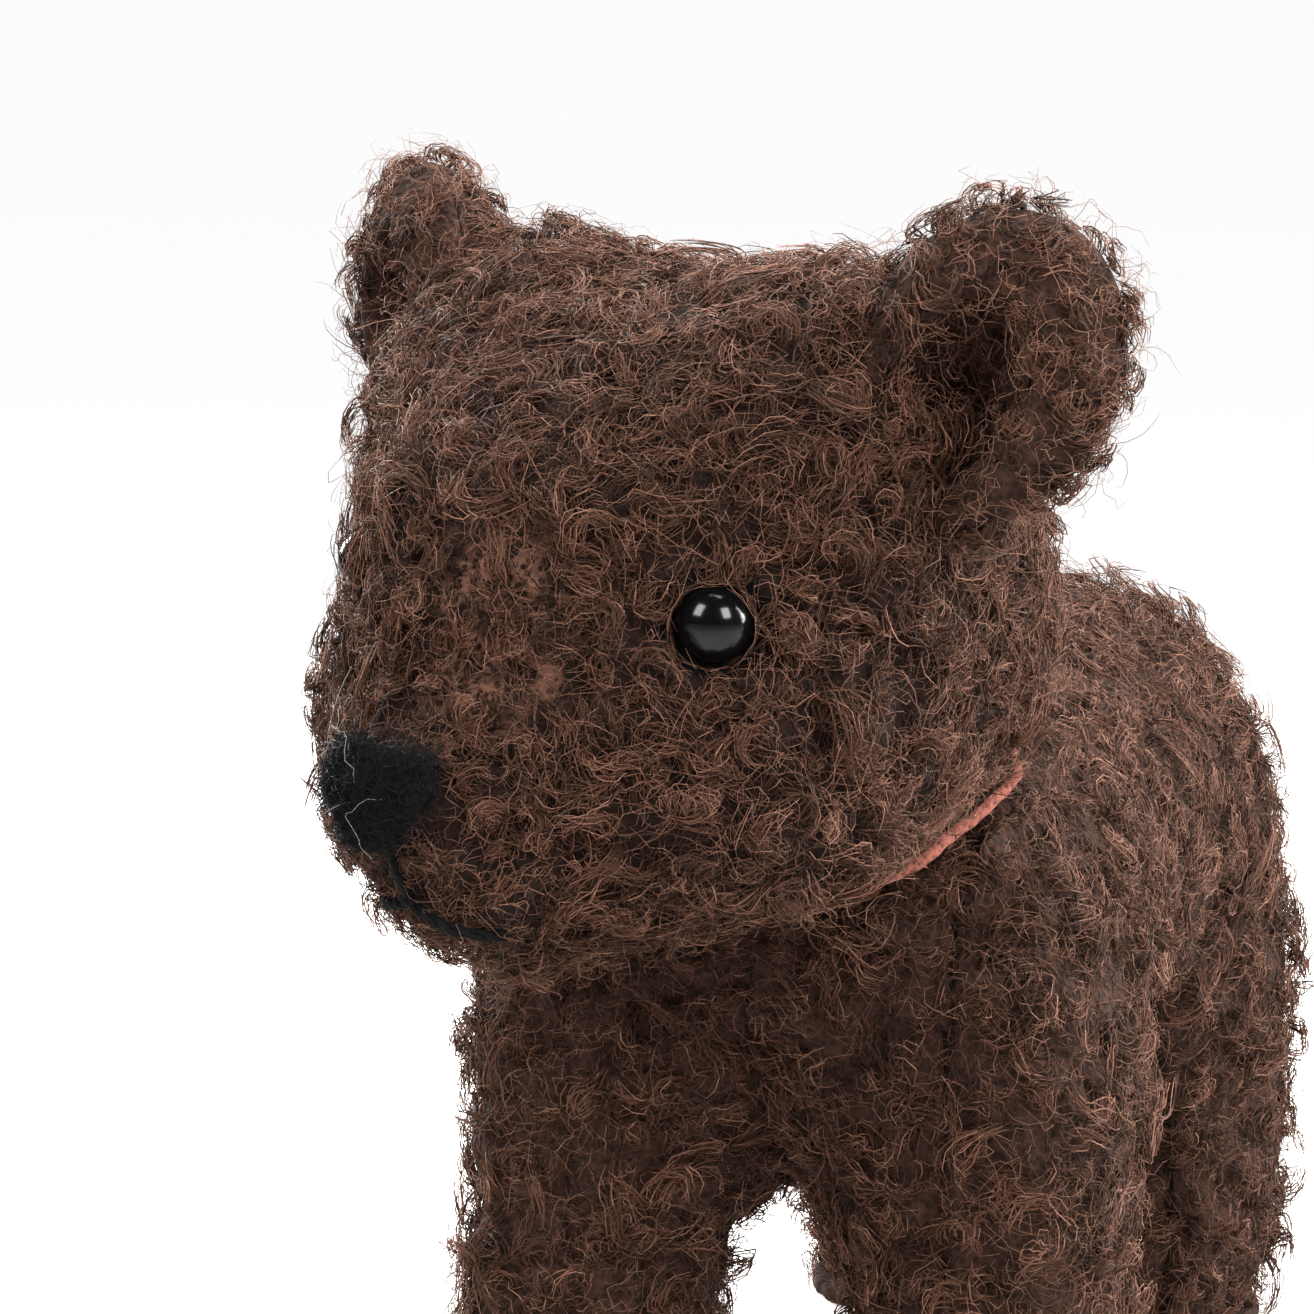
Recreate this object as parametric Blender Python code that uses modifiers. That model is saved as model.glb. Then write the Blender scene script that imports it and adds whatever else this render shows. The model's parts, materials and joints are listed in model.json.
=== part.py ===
"""A jointed teddy bear: a bear cub on all fours whose head turns on a disc joint.

Units are metres, +Z is up and the bear looks along -Y, so its own left is +X.
Each form is a union of ellipsoids, skinned as sewn panels round a core of stuffing.
The head's pieces are measured from the skull's centre, in a frame turned as the head is.
"""
from math import cos, pi, radians, sin

import bmesh
import bpy
import numpy as np
from mathutils import Euler, Matrix, Vector
from mathutils.bvhtree import BVHTree

# ---- driving dimensions -------------------------------------------------------------
GAP = 0.0003                 # gap between pieces that touch
SEAM = 0.0003                # gap along a seam
CLEAR = 0.0005               # between the cloth and what it covers, measured at the corners
NECK_GAP = 0.0004            # from the neck joint's plane to the cloth on each side
PILE = 0.0040                # cloth with its pile, from the stuffing to the tips
VOXEL_BODY = 0.0092          # grid that melts the ellipsoids of the body into one form
VOXEL_HEAD = 0.0082
BIG = 0.40                   # larger than the whole bear

NECK = Vector((0.0, -0.0430, 0.0935))         # centre of the neck joint
NECK_RISE = radians(55)                       # the joint's axis above the horizontal
HEAD_TURN = Euler((radians(8), radians(3), radians(-18)), "XYZ")   # nod, tilt and turn
SKULL = Vector((-0.0035, -0.0138, 0.0225))    # centre of the head from the joint

# centre and half sizes of the ellipsoids that make the head, from the skull's centre;
# those at one side are mirrored to the other
HEAD_FORM = [
    ((0.0, 0.0, 0.0), (0.0415, 0.0365, 0.0388)),
    ((0.0185, 0.0020, 0.0195), (0.0222, 0.0260, 0.0226)),
    ((0.0195, -0.0100, -0.0110), (0.0225, 0.0250, 0.0215)),
    ((0.0, -0.0180, 0.0120), (0.0300, 0.0220, 0.0200)),
    ((0.0, 0.0125, -0.0040), (0.0405, 0.0340, 0.0335)),
    ((0.0, -0.0290, -0.0158), (0.0232, 0.0222, 0.0214)),
]
# the trunk, from the ground under its middle
TRUNK_FORM = [
    ((0.0, -0.0310, 0.0775), (0.0345, 0.0340, 0.0340)),
    ((0.0, -0.0200, 0.0740), (0.0400, 0.0400, 0.0300)),
    ((0.0, 0.0150, 0.0760), (0.0375, 0.0480, 0.0305)),
    ((0.0, 0.0480, 0.0745), (0.0380, 0.0380, 0.0352)),
]
# shoulder or thigh, shank and paw of a left leg
FRONT_LEG_FORM = [
    ((0.0245, -0.0400, 0.0560), (0.0205, 0.0230, 0.0320)),
    ((0.0247, -0.0430, 0.0280), (0.0200, 0.0195, 0.0340)),
    ((0.0257, -0.0480, 0.0110), (0.0205, 0.0250, 0.0155)),
]
HIND_LEG_FORM = [
    ((0.0215, 0.0560, 0.0520), (0.0185, 0.0260, 0.0300)),
    ((0.0215, 0.0650, 0.0270), (0.0170, 0.0185, 0.0340)),
    ((0.0215, 0.0590, 0.0105), (0.0175, 0.0235, 0.0145)),
]

GUSSET_HALF = 0.0150         # half width of the head gusset, from nose to neck
GUSSET_LOW = -0.0040         # its lower edge on the muzzle, from the skull's centre
UNDER_HALF = 0.0225          # half width of the underbody, to the seam down each leg
UNDER_TOP = 0.0600           # the underbody reaches up to here behind the chest
CHEST_FOOT = -0.0250         # its seam rises from here to the front of the shoulder
CHEST_BACK = -0.0420
CHEST_TOP = 0.0850
LEG_TOP = 0.0500             # the stuffing of the legs ends here
SOLE = 0.0022                # thickness of a foot sole
SOLE_SHARE = 0.74            # its half size as a share of the paw's
SPLIT_Y = 0.0120             # between the front legs and the hind legs

EYE = Vector((0.0241, -0.0234, 0.0058))       # centre of the left eye, from the skull's
EYE_INWARD = Vector((-0.55, 0.83, -0.05))     # the way its shank goes in
EYE_R = 0.0040
SHANK_R = 0.0006
SHANK = 0.0090
EAR = Vector((0.0388, 0.0040, 0.0280))        # centre of the left ear, from the skull's
EAR_SIZE = Vector((0.0152, 0.0092, 0.0188))   # half width, half thickness, half height
EAR_CUP = Vector((-0.0016, -0.0113, -0.0042))  # the hollow in its front, from the ear's centre
EAR_CUP_SIZE = Vector((0.0078, 0.0130, 0.0130))
EAR_TURN = Euler((radians(-8), radians(28), radians(26)), "XYZ")

DISC_R = 0.0172
DISC_T = 0.0025
WASHER_R = 0.0080
WASHER_T = 0.0008
PIN_R = 0.0015
PIN_HOLE = 0.0022
PIN_REACH = 0.0100           # the pin's hole in the cloth is cut this far from the joint
PIN_WELL = 0.0150            # the stuffing is clear of the washer and the pin to this depth
PIN_BAR = 0.0060             # half length of the pin's cross bar
PIN_LEGS = 0.0065            # half length of its spread legs
BAND_T = 0.0015              # the gathered edge of the head's cloth, over the neck disc

NOSE_TOP = -0.0056           # top edge of the nose, from the skull's centre
NOSE_WIDE = 0.0066           # half width of the nose, less that of its pointed foot
NOSE_TALL = 0.0088
NOSE_FOOT = 0.0006           # half width of its foot
NOSE_THICK = 0.0018
LIP_DROP = 0.0058            # from the nose's foot down to the mouth
MOUTH_START = 0.0016         # each side of the mouth runs out from here
MOUTH_LEFT = 0.0085          # to here on its left
MOUTH_RIGHT = 0.0042         # and to here on its right
MOUTH_SLOPE = 0.45
THREAD_R = 0.0006

# ---- colours --------------------------------------------------------------------------
MOHAIR = (0.085, 0.045, 0.032)
KNIT = (0.30, 0.16, 0.12)
CORAL = (0.55, 0.19, 0.13)
WADDING = (0.80, 0.78, 0.74)
BLACK = (0.012, 0.011, 0.011)
HARDBOARD = (0.28, 0.17, 0.09)
STEEL = (0.55, 0.55, 0.56)


def clear_scene():
    for obj in list(bpy.data.objects):
        bpy.data.objects.remove(obj, do_unlink=True)


def collection(name):
    made = bpy.data.collections.new(name)
    bpy.context.scene.collection.children.link(made)
    return made


clear_scene()
BEAR = collection("jointed_teddy_bear")
CUTTERS = collection("cutters")


def material(name, colour, roughness, metallic=0.0):
    made = bpy.data.materials.new(name)
    made.use_nodes = True
    shader = made.node_tree.nodes["Principled BSDF"]
    shader.inputs["Base Color"].default_value = (*colour, 1.0)
    shader.inputs["Roughness"].default_value = roughness
    shader.inputs["Metallic"].default_value = metallic
    return made


MATERIALS = {
    "mohair": material("mohair", MOHAIR, 0.9),
    "ear_lining": material("ear_lining", MOHAIR, 0.9),
    "sole_cloth": material("sole_cloth", KNIT, 0.9),
    "edge_band": material("edge_band", CORAL, 0.8),
    "wadding": material("wadding", WADDING, 1.0),
    "nose_felt": material("nose_felt", BLACK, 0.9),
    "thread": material("thread", BLACK, 0.7),
    "eye_glass": material("eye_glass", BLACK, 0.05),
    "hardboard": material("hardboard", HARDBOARD, 0.6),
    "steel": material("steel", STEEL, 0.3, 1.0),
}


# ---- making solids --------------------------------------------------------------------
def mesh_object(name, mesh, where):
    obj = bpy.data.objects.new(name, mesh)
    where.objects.link(obj)
    return obj


def from_bmesh(name, bm, where):
    mesh = bpy.data.meshes.new(name)
    bm.to_mesh(mesh)
    bm.free()
    return mesh_object(name, mesh, where)


def evaluated(obj):
    """Swap an object's mesh for its evaluated one, with no modifiers left."""
    graph = bpy.context.evaluated_depsgraph_get()
    mesh = bpy.data.meshes.new_from_object(obj.evaluated_get(graph))
    obj.modifiers.clear()
    obj.data = mesh
    return obj


def as_cutter(obj):
    obj.hide_render = True
    obj.display_type = "WIRE"
    return obj


def box(name, low, high):
    """A cutter from its lowest corner to its highest."""
    low, high = Vector(low), Vector(high)
    bm = bmesh.new()
    bmesh.ops.create_cube(bm, size=1.0)
    bmesh.ops.scale(bm, vec=high - low, verts=bm.verts)
    bmesh.ops.translate(bm, vec=(low + high) / 2, verts=bm.verts)
    return as_cutter(from_bmesh(name, bm, CUTTERS))


def ball(bm, centre, half, segments=16, rings=10):
    made = bmesh.ops.create_uvsphere(bm, u_segments=segments, v_segments=rings, radius=1.0)
    bmesh.ops.scale(bm, vec=half, verts=made["verts"])
    bmesh.ops.translate(bm, vec=centre, verts=made["verts"])
    return made["verts"]


def cylinder(name, radius, low, high, where, turn=Matrix(), sides=28):
    """A cylinder along local Z from low to high."""
    bm = bmesh.new()
    bmesh.ops.create_cone(bm, cap_ends=True, segments=sides, radius1=radius,
                          radius2=radius, depth=high - low)
    bmesh.ops.translate(bm, vec=(0, 0, (low + high) / 2), verts=bm.verts)
    bmesh.ops.transform(bm, matrix=turn, verts=bm.verts)
    return from_bmesh(name, bm, where)


def form(name, ellipsoids, voxel, inset=0.0, swell=0.0):
    """One closed soft form: ellipsoids, each inset, melted, smoothed, mirrored and swollen."""
    bm = bmesh.new()
    for centre, half in ellipsoids:
        ball(bm, centre, [size - inset for size in half])
    obj = as_cutter(from_bmesh(name, bm, CUTTERS))
    melt = obj.modifiers.new("melt", "REMESH")
    melt.mode = "VOXEL"
    melt.voxel_size = voxel
    smooth = obj.modifiers.new("smooth", "SMOOTH")
    smooth.factor = 0.5
    smooth.iterations = 3
    mirror = obj.modifiers.new("mirror", "MIRROR")
    mirror.use_bisect_axis[0] = True
    mirror.use_mirror_merge = True
    mirror.merge_threshold = 0.0001
    mirror.bisect_threshold = 0.00001
    obj.modifiers.new("flat_faces", "TRIANGULATE")
    offset = obj.modifiers.new("swell", "DISPLACE")
    offset.mid_level = 0.0
    offset.strength = swell
    return evaluated(obj)


def boolean(obj, cutter, operation):
    cut = obj.modifiers.new(f"{operation.lower()}_{cutter.name}", "BOOLEAN")
    cut.operation = operation
    cut.object = cutter
    return obj


def solid(name, source, keep=(), cut=(), look="mohair"):
    """A copy of source, kept inside every keep and outside every cut."""
    obj = mesh_object(name, source.data.copy(), BEAR)
    for region in keep:
        boolean(obj, region, "INTERSECT")
    for region in cut:
        boolean(obj, region, "DIFFERENCE")
    return finish(obj, look)


def finish(obj, look):
    obj.data.materials.clear()
    obj.data.materials.append(MATERIALS[look])
    obj.data.shade_smooth()
    obj.data.set_sharp_from_angle(angle=radians(40))
    return obj


def twin(piece, name):
    """The mirror image of a left-hand piece."""
    graph = bpy.context.evaluated_depsgraph_get()
    mesh = bpy.data.meshes.new_from_object(piece.evaluated_get(graph))
    mesh.transform(Matrix.Scale(-1, 4, (1, 0, 0)))
    mesh.flip_normals()
    return mesh_object(name, mesh, BEAR)


def tube(name, points, radius, look, cyclic=False):
    """A thread or wire: a poly curve of round section, made a mesh with welded caps."""
    curve = bpy.data.curves.new(name, "CURVE")
    curve.dimensions = "3D"
    curve.bevel_depth = radius
    curve.bevel_resolution = 2
    curve.use_fill_caps = True
    spline = curve.splines.new("POLY")
    spline.points.add(len(points) - 1)
    for spot, point in zip(spline.points, points):
        spot.co = (*point, 1.0)
    spline.use_cyclic_u = cyclic
    wire = mesh_object(name + "_curve", curve, CUTTERS)
    graph = bpy.context.evaluated_depsgraph_get()
    mesh = bpy.data.meshes.new_from_object(wire.evaluated_get(graph))
    bpy.data.objects.remove(wire, do_unlink=True)
    bm = bmesh.new()
    bm.from_mesh(mesh)
    bmesh.ops.remove_doubles(bm, verts=bm.verts, dist=0.00001)
    bmesh.ops.recalc_face_normals(bm, faces=bm.faces)
    bm.to_mesh(mesh)
    bm.free()
    return finish(mesh_object(name, mesh, BEAR), look)


# ---- the neck joint's axis, in the world and in the head's own frame --------------------
AXIS = Vector((0.0, -cos(NECK_RISE), sin(NECK_RISE)))
TURN = HEAD_TURN.to_matrix()
HEAD_AXIS = TURN.inverted() @ AXIS
HEAD_ALONG = Matrix.Translation(-SKULL) @ HEAD_AXIS.to_track_quat("Z", "Y").to_matrix().to_4x4()
BODY_ALONG = Matrix.Translation(NECK) @ AXIS.to_track_quat("Z", "Y").to_matrix().to_4x4()


def beyond(name, along, start, ahead=True):
    """The half of space ahead of, or behind, a plane across the neck joint's axis."""
    low = (-BIG, -BIG, start if ahead else -BIG)
    high = (BIG, BIG, BIG if ahead else start)
    made = box(name, low, high)
    made.data.transform(along)
    return made


# ---- regions that the panels are cut to -------------------------------------------------
def regions(who, along, ahead):
    """Left, right, and three cuts across the neck: for the cloth, its inside and the stuffing."""
    sign = 1 if ahead else -1
    start = NECK_GAP + (BAND_T + GAP if ahead else 0.0)
    left = box(who + "_left_half", (SEAM / 2, -BIG, -BIG), (BIG, BIG, BIG))
    right = box(who + "_right_half", (-BIG, -BIG, -BIG), (-SEAM / 2, BIG, BIG))
    cloth = beyond(who + "_cloth_side", along, sign * start, ahead)
    core = beyond(who + "_core_side", along, sign * (NECK_GAP + PILE), ahead)
    fill = beyond(who + "_fill_side", along, sign * (NECK_GAP + PILE + GAP), ahead)
    return left, right, cloth, core, fill


# ---- the head -----------------------------------------------------------------------------
def head_pieces():
    left, right, cloth, core_side, fill_side = regions("head", HEAD_ALONG, True)
    outer = form("head_form", HEAD_FORM, VOXEL_HEAD)
    inner = form("head_core", HEAD_FORM, VOXEL_HEAD, PILE)
    boolean(inner, core_side, "INTERSECT")
    evaluated(inner)
    pin_hole = as_cutter(cylinder("head_pin_hole", PIN_HOLE, -PIN_REACH, PIN_REACH, CUTTERS, HEAD_ALONG))
    eyes, sockets, openings = eye_pieces()
    low = GUSSET_LOW
    thin, wide = GUSSET_HALF - SEAM / 2, GUSSET_HALF + SEAM / 2
    strip = box("gusset_strip", (-thin, -BIG, low + SEAM / 2), (thin, BIG, BIG))
    room = box("gusset_room", (-wide, -BIG, low - SEAM / 2), (wide, BIG, BIG))
    hollow = [inner, pin_hole] + sockets + openings
    pieces = [
        solid("head_gusset", outer, keep=[cloth, strip], cut=hollow),
        solid("head_side_left", outer, keep=[cloth, left], cut=hollow + [room]),
        solid("head_side_right", outer, keep=[cloth, right], cut=hollow + [room]),
    ]
    core = form("head_fill_form", HEAD_FORM, VOXEL_HEAD, PILE, -CLEAR)
    depth = NECK_GAP + PILE + DISC_T + 2 * GAP
    pocket = as_cutter(cylinder("head_disc_pocket", DISC_R + GAP, 0.0, depth, CUTTERS, HEAD_ALONG))
    well = as_cutter(cylinder("head_pin_well", WASHER_R + GAP, 0.0, PIN_WELL, CUTTERS, HEAD_ALONG))
    hollow = [pocket, well] + sockets
    pieces.append(solid("head_stuffing", core, keep=[fill_side], cut=hollow, look="wadding"))
    edge = beyond("edge_start", HEAD_ALONG, NECK_GAP)
    above_edge = beyond("edge_end", HEAD_ALONG, NECK_GAP + BAND_T)
    pieces.append(solid("neck_edge_band", outer, keep=[edge], cut=[above_edge, pin_hole], look="edge_band"))
    return pieces + eyes + ear_pieces() + face_pieces(outer)


def eye_pieces():
    """Each eye is a bead on a wire shank, sunk into the head and open to the front."""
    eyes, sockets, openings = [], [], []
    for side, name in ((1, "left"), (-1, "right")):
        inward = Vector((side * EYE_INWARD.x, EYE_INWARD.y, EYE_INWARD.z)).normalized()
        centre = Vector((side * EYE.x, EYE.y, EYE.z))
        along = Matrix.Translation(centre) @ inward.to_track_quat("Z", "Y").to_matrix().to_4x4()
        bm = bmesh.new()
        ball(bm, (0, 0, 0), (EYE_R, EYE_R, EYE_R))
        bmesh.ops.transform(bm, matrix=along, verts=bm.verts)
        eye = from_bmesh("eye_" + name, bm, BEAR)
        shank = as_cutter(cylinder("shank_" + name, SHANK_R, 0.0, EYE_R + SHANK, CUTTERS, along, 10))
        boolean(eye, shank, "UNION")
        eyes.append(finish(eye, "eye_glass"))
        bm = bmesh.new()
        ball(bm, (0, 0, 0), [EYE_R + GAP] * 3)
        bmesh.ops.transform(bm, matrix=along, verts=bm.verts)
        sockets.append(as_cutter(from_bmesh("socket_" + name, bm, CUTTERS)))
        opening = cylinder("opening_" + name, EYE_R + GAP, -EYE_R * 2.5, 0.0, CUTTERS, along)
        openings.append(as_cutter(opening))
        channel = cylinder("channel_" + name, SHANK_R + GAP, 0.0, EYE_R + SHANK + GAP, CUTTERS, along, 10)
        sockets.append(as_cutter(channel))
    return eyes, sockets, openings


def ear_pieces():
    """Each ear is a cupped front and a domed back, sewn together round the edge."""
    grown = form("head_room", HEAD_FORM, VOXEL_HEAD, 0.0, CLEAR)
    pieces = []
    for side, name in ((1, "left"), (-1, "right")):
        turn = Euler((EAR_TURN.x, side * EAR_TURN.y, side * EAR_TURN.z), "XYZ").to_matrix().to_4x4()
        place = Matrix.Translation((side * EAR.x, EAR.y, EAR.z)) @ turn
        bm = bmesh.new()
        ball(bm, (0, 0, 0), EAR_SIZE, 20, 12)
        bmesh.ops.transform(bm, matrix=place, verts=bm.verts)
        whole = as_cutter(from_bmesh("ear_form_" + name, bm, CUTTERS))
        bm = bmesh.new()
        ball(bm, (side * EAR_CUP.x, EAR_CUP.y, EAR_CUP.z), EAR_CUP_SIZE, 22, 13)
        bmesh.ops.transform(bm, matrix=place, verts=bm.verts)
        cup = as_cutter(from_bmesh("ear_cup_" + name, bm, CUTTERS))
        front = box("ear_front_half_" + name, (-BIG, -BIG, -BIG), (BIG, -SEAM / 2, BIG))
        back = box("ear_back_half_" + name, (-BIG, SEAM / 2, -BIG), (BIG, BIG, BIG))
        front.data.transform(place)
        back.data.transform(place)
        pieces.append(solid(f"ear_{name}_front", whole, keep=[front], cut=[cup, grown], look="ear_lining"))
        pieces.append(solid(f"ear_{name}_back", whole, keep=[back], cut=[grown]))
    return pieces


def on_surface(tree, x, z, lift):
    """The point in front of the face at this width and height, lifted off the surface."""
    start = Vector((x, -BIG, z))
    spot, normal, _, _ = tree.ray_cast(start, Vector((0, 1, 0)))
    return spot + normal * lift


def face_pieces(outer):
    bm = bmesh.new()
    bm.from_mesh(outer.data)
    tree = BVHTree.FromBMesh(bm)
    bm.free()
    top = NOSE_TOP
    bottom = top - NOSE_TALL
    pieces = [nose_pad(tree, top, bottom)]
    lip = bottom - LIP_DROP
    lift = THREAD_R + 2 * GAP
    drop = [on_surface(tree, 0.0, z, lift) for z in np.linspace(bottom - 2 * THREAD_R, lip, 6)]
    pieces.append(tube("mouth_stitch_centre", drop, THREAD_R, "thread"))
    for side, name, reach in ((1, "left", MOUTH_LEFT), (-1, "right", MOUTH_RIGHT)):
        xs = np.linspace(MOUTH_START, reach, 8)
        zs = lip - GAP - MOUTH_SLOPE * (xs - MOUTH_START)
        line = [on_surface(tree, side * x, z, lift) for x, z in zip(xs, zs)]
        pieces.append(tube("mouth_stitch_" + name, line, THREAD_R, "thread"))
    return pieces


def nose_pad(tree, top, bottom):
    """A rounded shield laid on the front of the muzzle, wide above and pointed below."""
    rows, columns = 8, 9
    bm = bmesh.new()
    layers = []
    for lift in (2 * GAP, 2 * GAP + NOSE_THICK):
        grid = []
        for row in range(rows):
            share = row / (rows - 1)
            taper = (1.0 - share ** 2.2) ** 0.8 * (1.0 - 0.30 * (1.0 - share) ** 5)
            width = NOSE_WIDE * taper + NOSE_FOOT
            z = top + (bottom - top) * share
            grid.append([bm.verts.new(on_surface(tree, width * (2 * c / (columns - 1) - 1), z, lift))
                         for c in range(columns)])
        layers.append(grid)
    under, over = layers
    for row in range(rows - 1):
        for c in range(columns - 1):
            bm.faces.new((over[row][c], over[row][c + 1], over[row + 1][c + 1], over[row + 1][c]))
            bm.faces.new((under[row][c], under[row + 1][c], under[row + 1][c + 1], under[row][c + 1]))
    rim = [(0, c) for c in range(columns)] + [(r, columns - 1) for r in range(1, rows)]
    rim += [(rows - 1, c) for c in range(columns - 2, -1, -1)] + [(r, 0) for r in range(rows - 2, 0, -1)]
    for (r1, c1), (r2, c2) in zip(rim, rim[1:] + rim[:1]):
        bm.faces.new((under[r1][c1], under[r2][c2], over[r2][c2], over[r1][c1]))
    bmesh.ops.recalc_face_normals(bm, faces=bm.faces)
    return finish(from_bmesh("nose_pad", bm, BEAR), "nose_felt")


# ---- the neck joint -------------------------------------------------------------------------
def ring(name, radius, hole, low, high, along, look, sides=40):
    """A disc or washer with the pin's hole through it."""
    disc = cylinder(name, radius, low, high, BEAR, along, sides)
    bore = as_cutter(cylinder("bore_" + name, hole, low - PIN_REACH, high + PIN_REACH, CUTTERS, along, 16))
    boolean(disc, bore, "DIFFERENCE")
    return finish(disc, look)


def joint_stack(who, along, sign):
    """The disc and its washer on one side of the neck, going away from the joint."""
    start = NECK_GAP + PILE + GAP
    made = []
    kinds = (("disc", DISC_R, DISC_T, "hardboard"), ("washer", WASHER_R, WASHER_T, "steel"))
    for kind, radius, thick, look in kinds:
        low, high = sorted((sign * start, sign * (start + thick)))
        made.append(ring(f"{who}_joint_{kind}", radius, PIN_HOLE, low, high, along, look))
        start += thick + GAP
    return made, start


def cotter_pin(reach):
    """A shank through both discs, a cross bar in the head and two curled legs in the body."""
    top = reach + GAP
    shank = cylinder("neck_cotter_pin", PIN_R, -top, top + 0.0010, BEAR, BODY_ALONG, 16)
    across = Matrix.Translation((0, 0, top + PIN_R)) @ Matrix.Rotation(pi / 2, 4, "Y")
    bar = as_cutter(cylinder("pin_bar", PIN_R, -PIN_BAR, PIN_BAR, CUTTERS, BODY_ALONG @ across, 16))
    boolean(shank, bar, "UNION")
    across = Matrix.Translation((0, 0, -top - PIN_R)) @ Matrix.Rotation(pi / 2, 4, "X")
    legs = cylinder("pin_legs", PIN_R * 1.02, -PIN_LEGS, PIN_LEGS, CUTTERS, BODY_ALONG @ across, 18)
    boolean(shank, as_cutter(legs), "UNION")
    return finish(shank, "steel")


# ---- the body -------------------------------------------------------------------------------
def body_form(name, inset=0.0, swell=0.0):
    return form(name, TRUNK_FORM + FRONT_LEG_FORM + HIND_LEG_FORM, VOXEL_BODY, inset, swell)


def body_pieces():
    outer = body_form("body_form")
    left, right, cloth, core_side, fill_side = regions("body", BODY_ALONG, False)
    inner = body_form("body_core", PILE)
    boolean(inner, core_side, "INTERSECT")
    evaluated(inner)
    above_soles = box("above_soles", (-BIG, -BIG, SOLE + GAP), (BIG, BIG, BIG))
    boolean(outer, above_soles, "INTERSECT")
    boolean(outer, cloth, "INTERSECT")
    evaluated(outer)
    pin_hole = as_cutter(cylinder("body_pin_hole", PIN_HOLE, -PIN_REACH, PIN_REACH, CUTTERS, BODY_ALONG))
    under = under_region("under_strip", -SEAM / 2)
    room = under_region("under_room", SEAM / 2)
    hollow = [inner, pin_hole]
    pieces = [
        solid("underbody_left", outer, keep=[left, under], cut=hollow),
        solid("body_side_left", outer, keep=[left], cut=hollow + [room]),
    ]
    pieces += leg_fill() + soles()
    for piece in pieces:
        twin(piece, piece.name.replace("left", "right"))
    torso_fill(fill_side)


def under_region(name, grow):
    """The chest, the belly and the inner halves of the legs: a side outline, drawn wide."""
    outline = [(-BIG, -BIG), (BIG, -BIG), (BIG, UNDER_TOP + grow), (CHEST_FOOT + grow, UNDER_TOP + grow),
               (CHEST_BACK + grow, CHEST_TOP), (CHEST_BACK + grow, BIG), (-BIG, BIG)]
    bm = bmesh.new()
    face = bm.faces.new([bm.verts.new((-UNDER_HALF - grow, y, z)) for y, z in outline])
    made = bmesh.ops.extrude_face_region(bm, geom=[face])
    moved = [v for v in made["geom"] if isinstance(v, bmesh.types.BMVert)]
    bmesh.ops.translate(bm, vec=(2 * (UNDER_HALF + grow), 0, 0), verts=moved)
    bmesh.ops.recalc_face_normals(bm, faces=bm.faces)
    return as_cutter(from_bmesh(name, bm, CUTTERS))


def torso_fill(fill_side):
    core = body_form("body_fill_form", PILE, -CLEAR)
    depth = NECK_GAP + PILE + DISC_T + 2 * GAP
    pocket = as_cutter(cylinder("body_disc_pocket", DISC_R + GAP, -depth, 0.0, CUTTERS, BODY_ALONG))
    well = as_cutter(cylinder("body_pin_well", WASHER_R + GAP, -PIN_WELL, 0.0, CUTTERS, BODY_ALONG))
    above = box("above_legs", (-BIG, -BIG, LEG_TOP + GAP), (BIG, BIG, BIG))
    return solid("torso_stuffing", core, keep=[fill_side, above], cut=[pocket, well], look="wadding")


def leg_fill():
    """The wads of stuffing in the two left legs."""
    core = body_form("leg_fill_form", PILE, -CLEAR)
    pieces = []
    for end, low_y, high_y in (("front", -BIG, SPLIT_Y), ("hind", SPLIT_Y, BIG)):
        room = box(f"{end}_leg_room", (0.0, low_y, SOLE + 2 * GAP), (BIG, high_y, LEG_TOP))
        pieces.append(solid(f"{end}_left_leg_stuffing", core, keep=[room], look="wadding"))
    return pieces


def soles():
    """Flat oval soles that close the two left legs at the ground."""
    pieces = []
    for end, leg in (("front", FRONT_LEG_FORM), ("hind", HIND_LEG_FORM)):
        centre, half = leg[-1]
        bm = bmesh.new()
        bmesh.ops.create_cone(bm, cap_ends=True, segments=28, radius1=1.0, radius2=1.0, depth=SOLE)
        bmesh.ops.scale(bm, vec=(half[0] * SOLE_SHARE, half[1] * SOLE_SHARE, 1.0), verts=bm.verts)
        bmesh.ops.translate(bm, vec=(centre[0], centre[1], SOLE / 2), verts=bm.verts)
        pieces.append(finish(from_bmesh(f"{end}_left_foot_sole", bm, BEAR), "sole_cloth"))
    return pieces


def stand_on_origin():
    """Move the whole bear so that the middle of its box stands on the origin."""
    graph = bpy.context.evaluated_depsgraph_get()
    spots = []
    for obj in BEAR.objects:
        if obj.type == "MESH":
            shown = obj.evaluated_get(graph)
            spots += [shown.matrix_world @ vertex.co for vertex in shown.data.vertices]
    low, high = np.min(spots, axis=0), np.max(spots, axis=0)
    middle = Vector(((low[0] + high[0]) / 2, (low[1] + high[1]) / 2, low[2]))
    for obj in list(BEAR.objects) + list(CUTTERS.objects):
        if obj.parent is None:
            obj.location -= middle


def build():
    body_pieces()
    _, reach = joint_stack("body", BODY_ALONG, -1)
    cotter_pin(reach)
    still = set(CUTTERS.objects)
    mount = bpy.data.objects.new("head_mount", None)
    mount.location = NECK
    mount.rotation_euler = HEAD_TURN
    BEAR.objects.link(mount)
    head_stack, _ = joint_stack("head", HEAD_ALONG, 1)
    for obj in head_pieces() + head_stack + list(set(CUTTERS.objects) - still):
        obj.parent = mount
        obj.location = SKULL
    stand_on_origin()


build()
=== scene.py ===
"""A jointed toy bear of curly mohair: cloth panels, wadding, fur fibres, eyes, nose and mouth."""

import json
from math import cos, pi, radians, sin

import bmesh
import bpy
import numpy as np
from mathutils import Euler, Matrix, Vector
from mathutils.bvhtree import BVHTree

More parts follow.
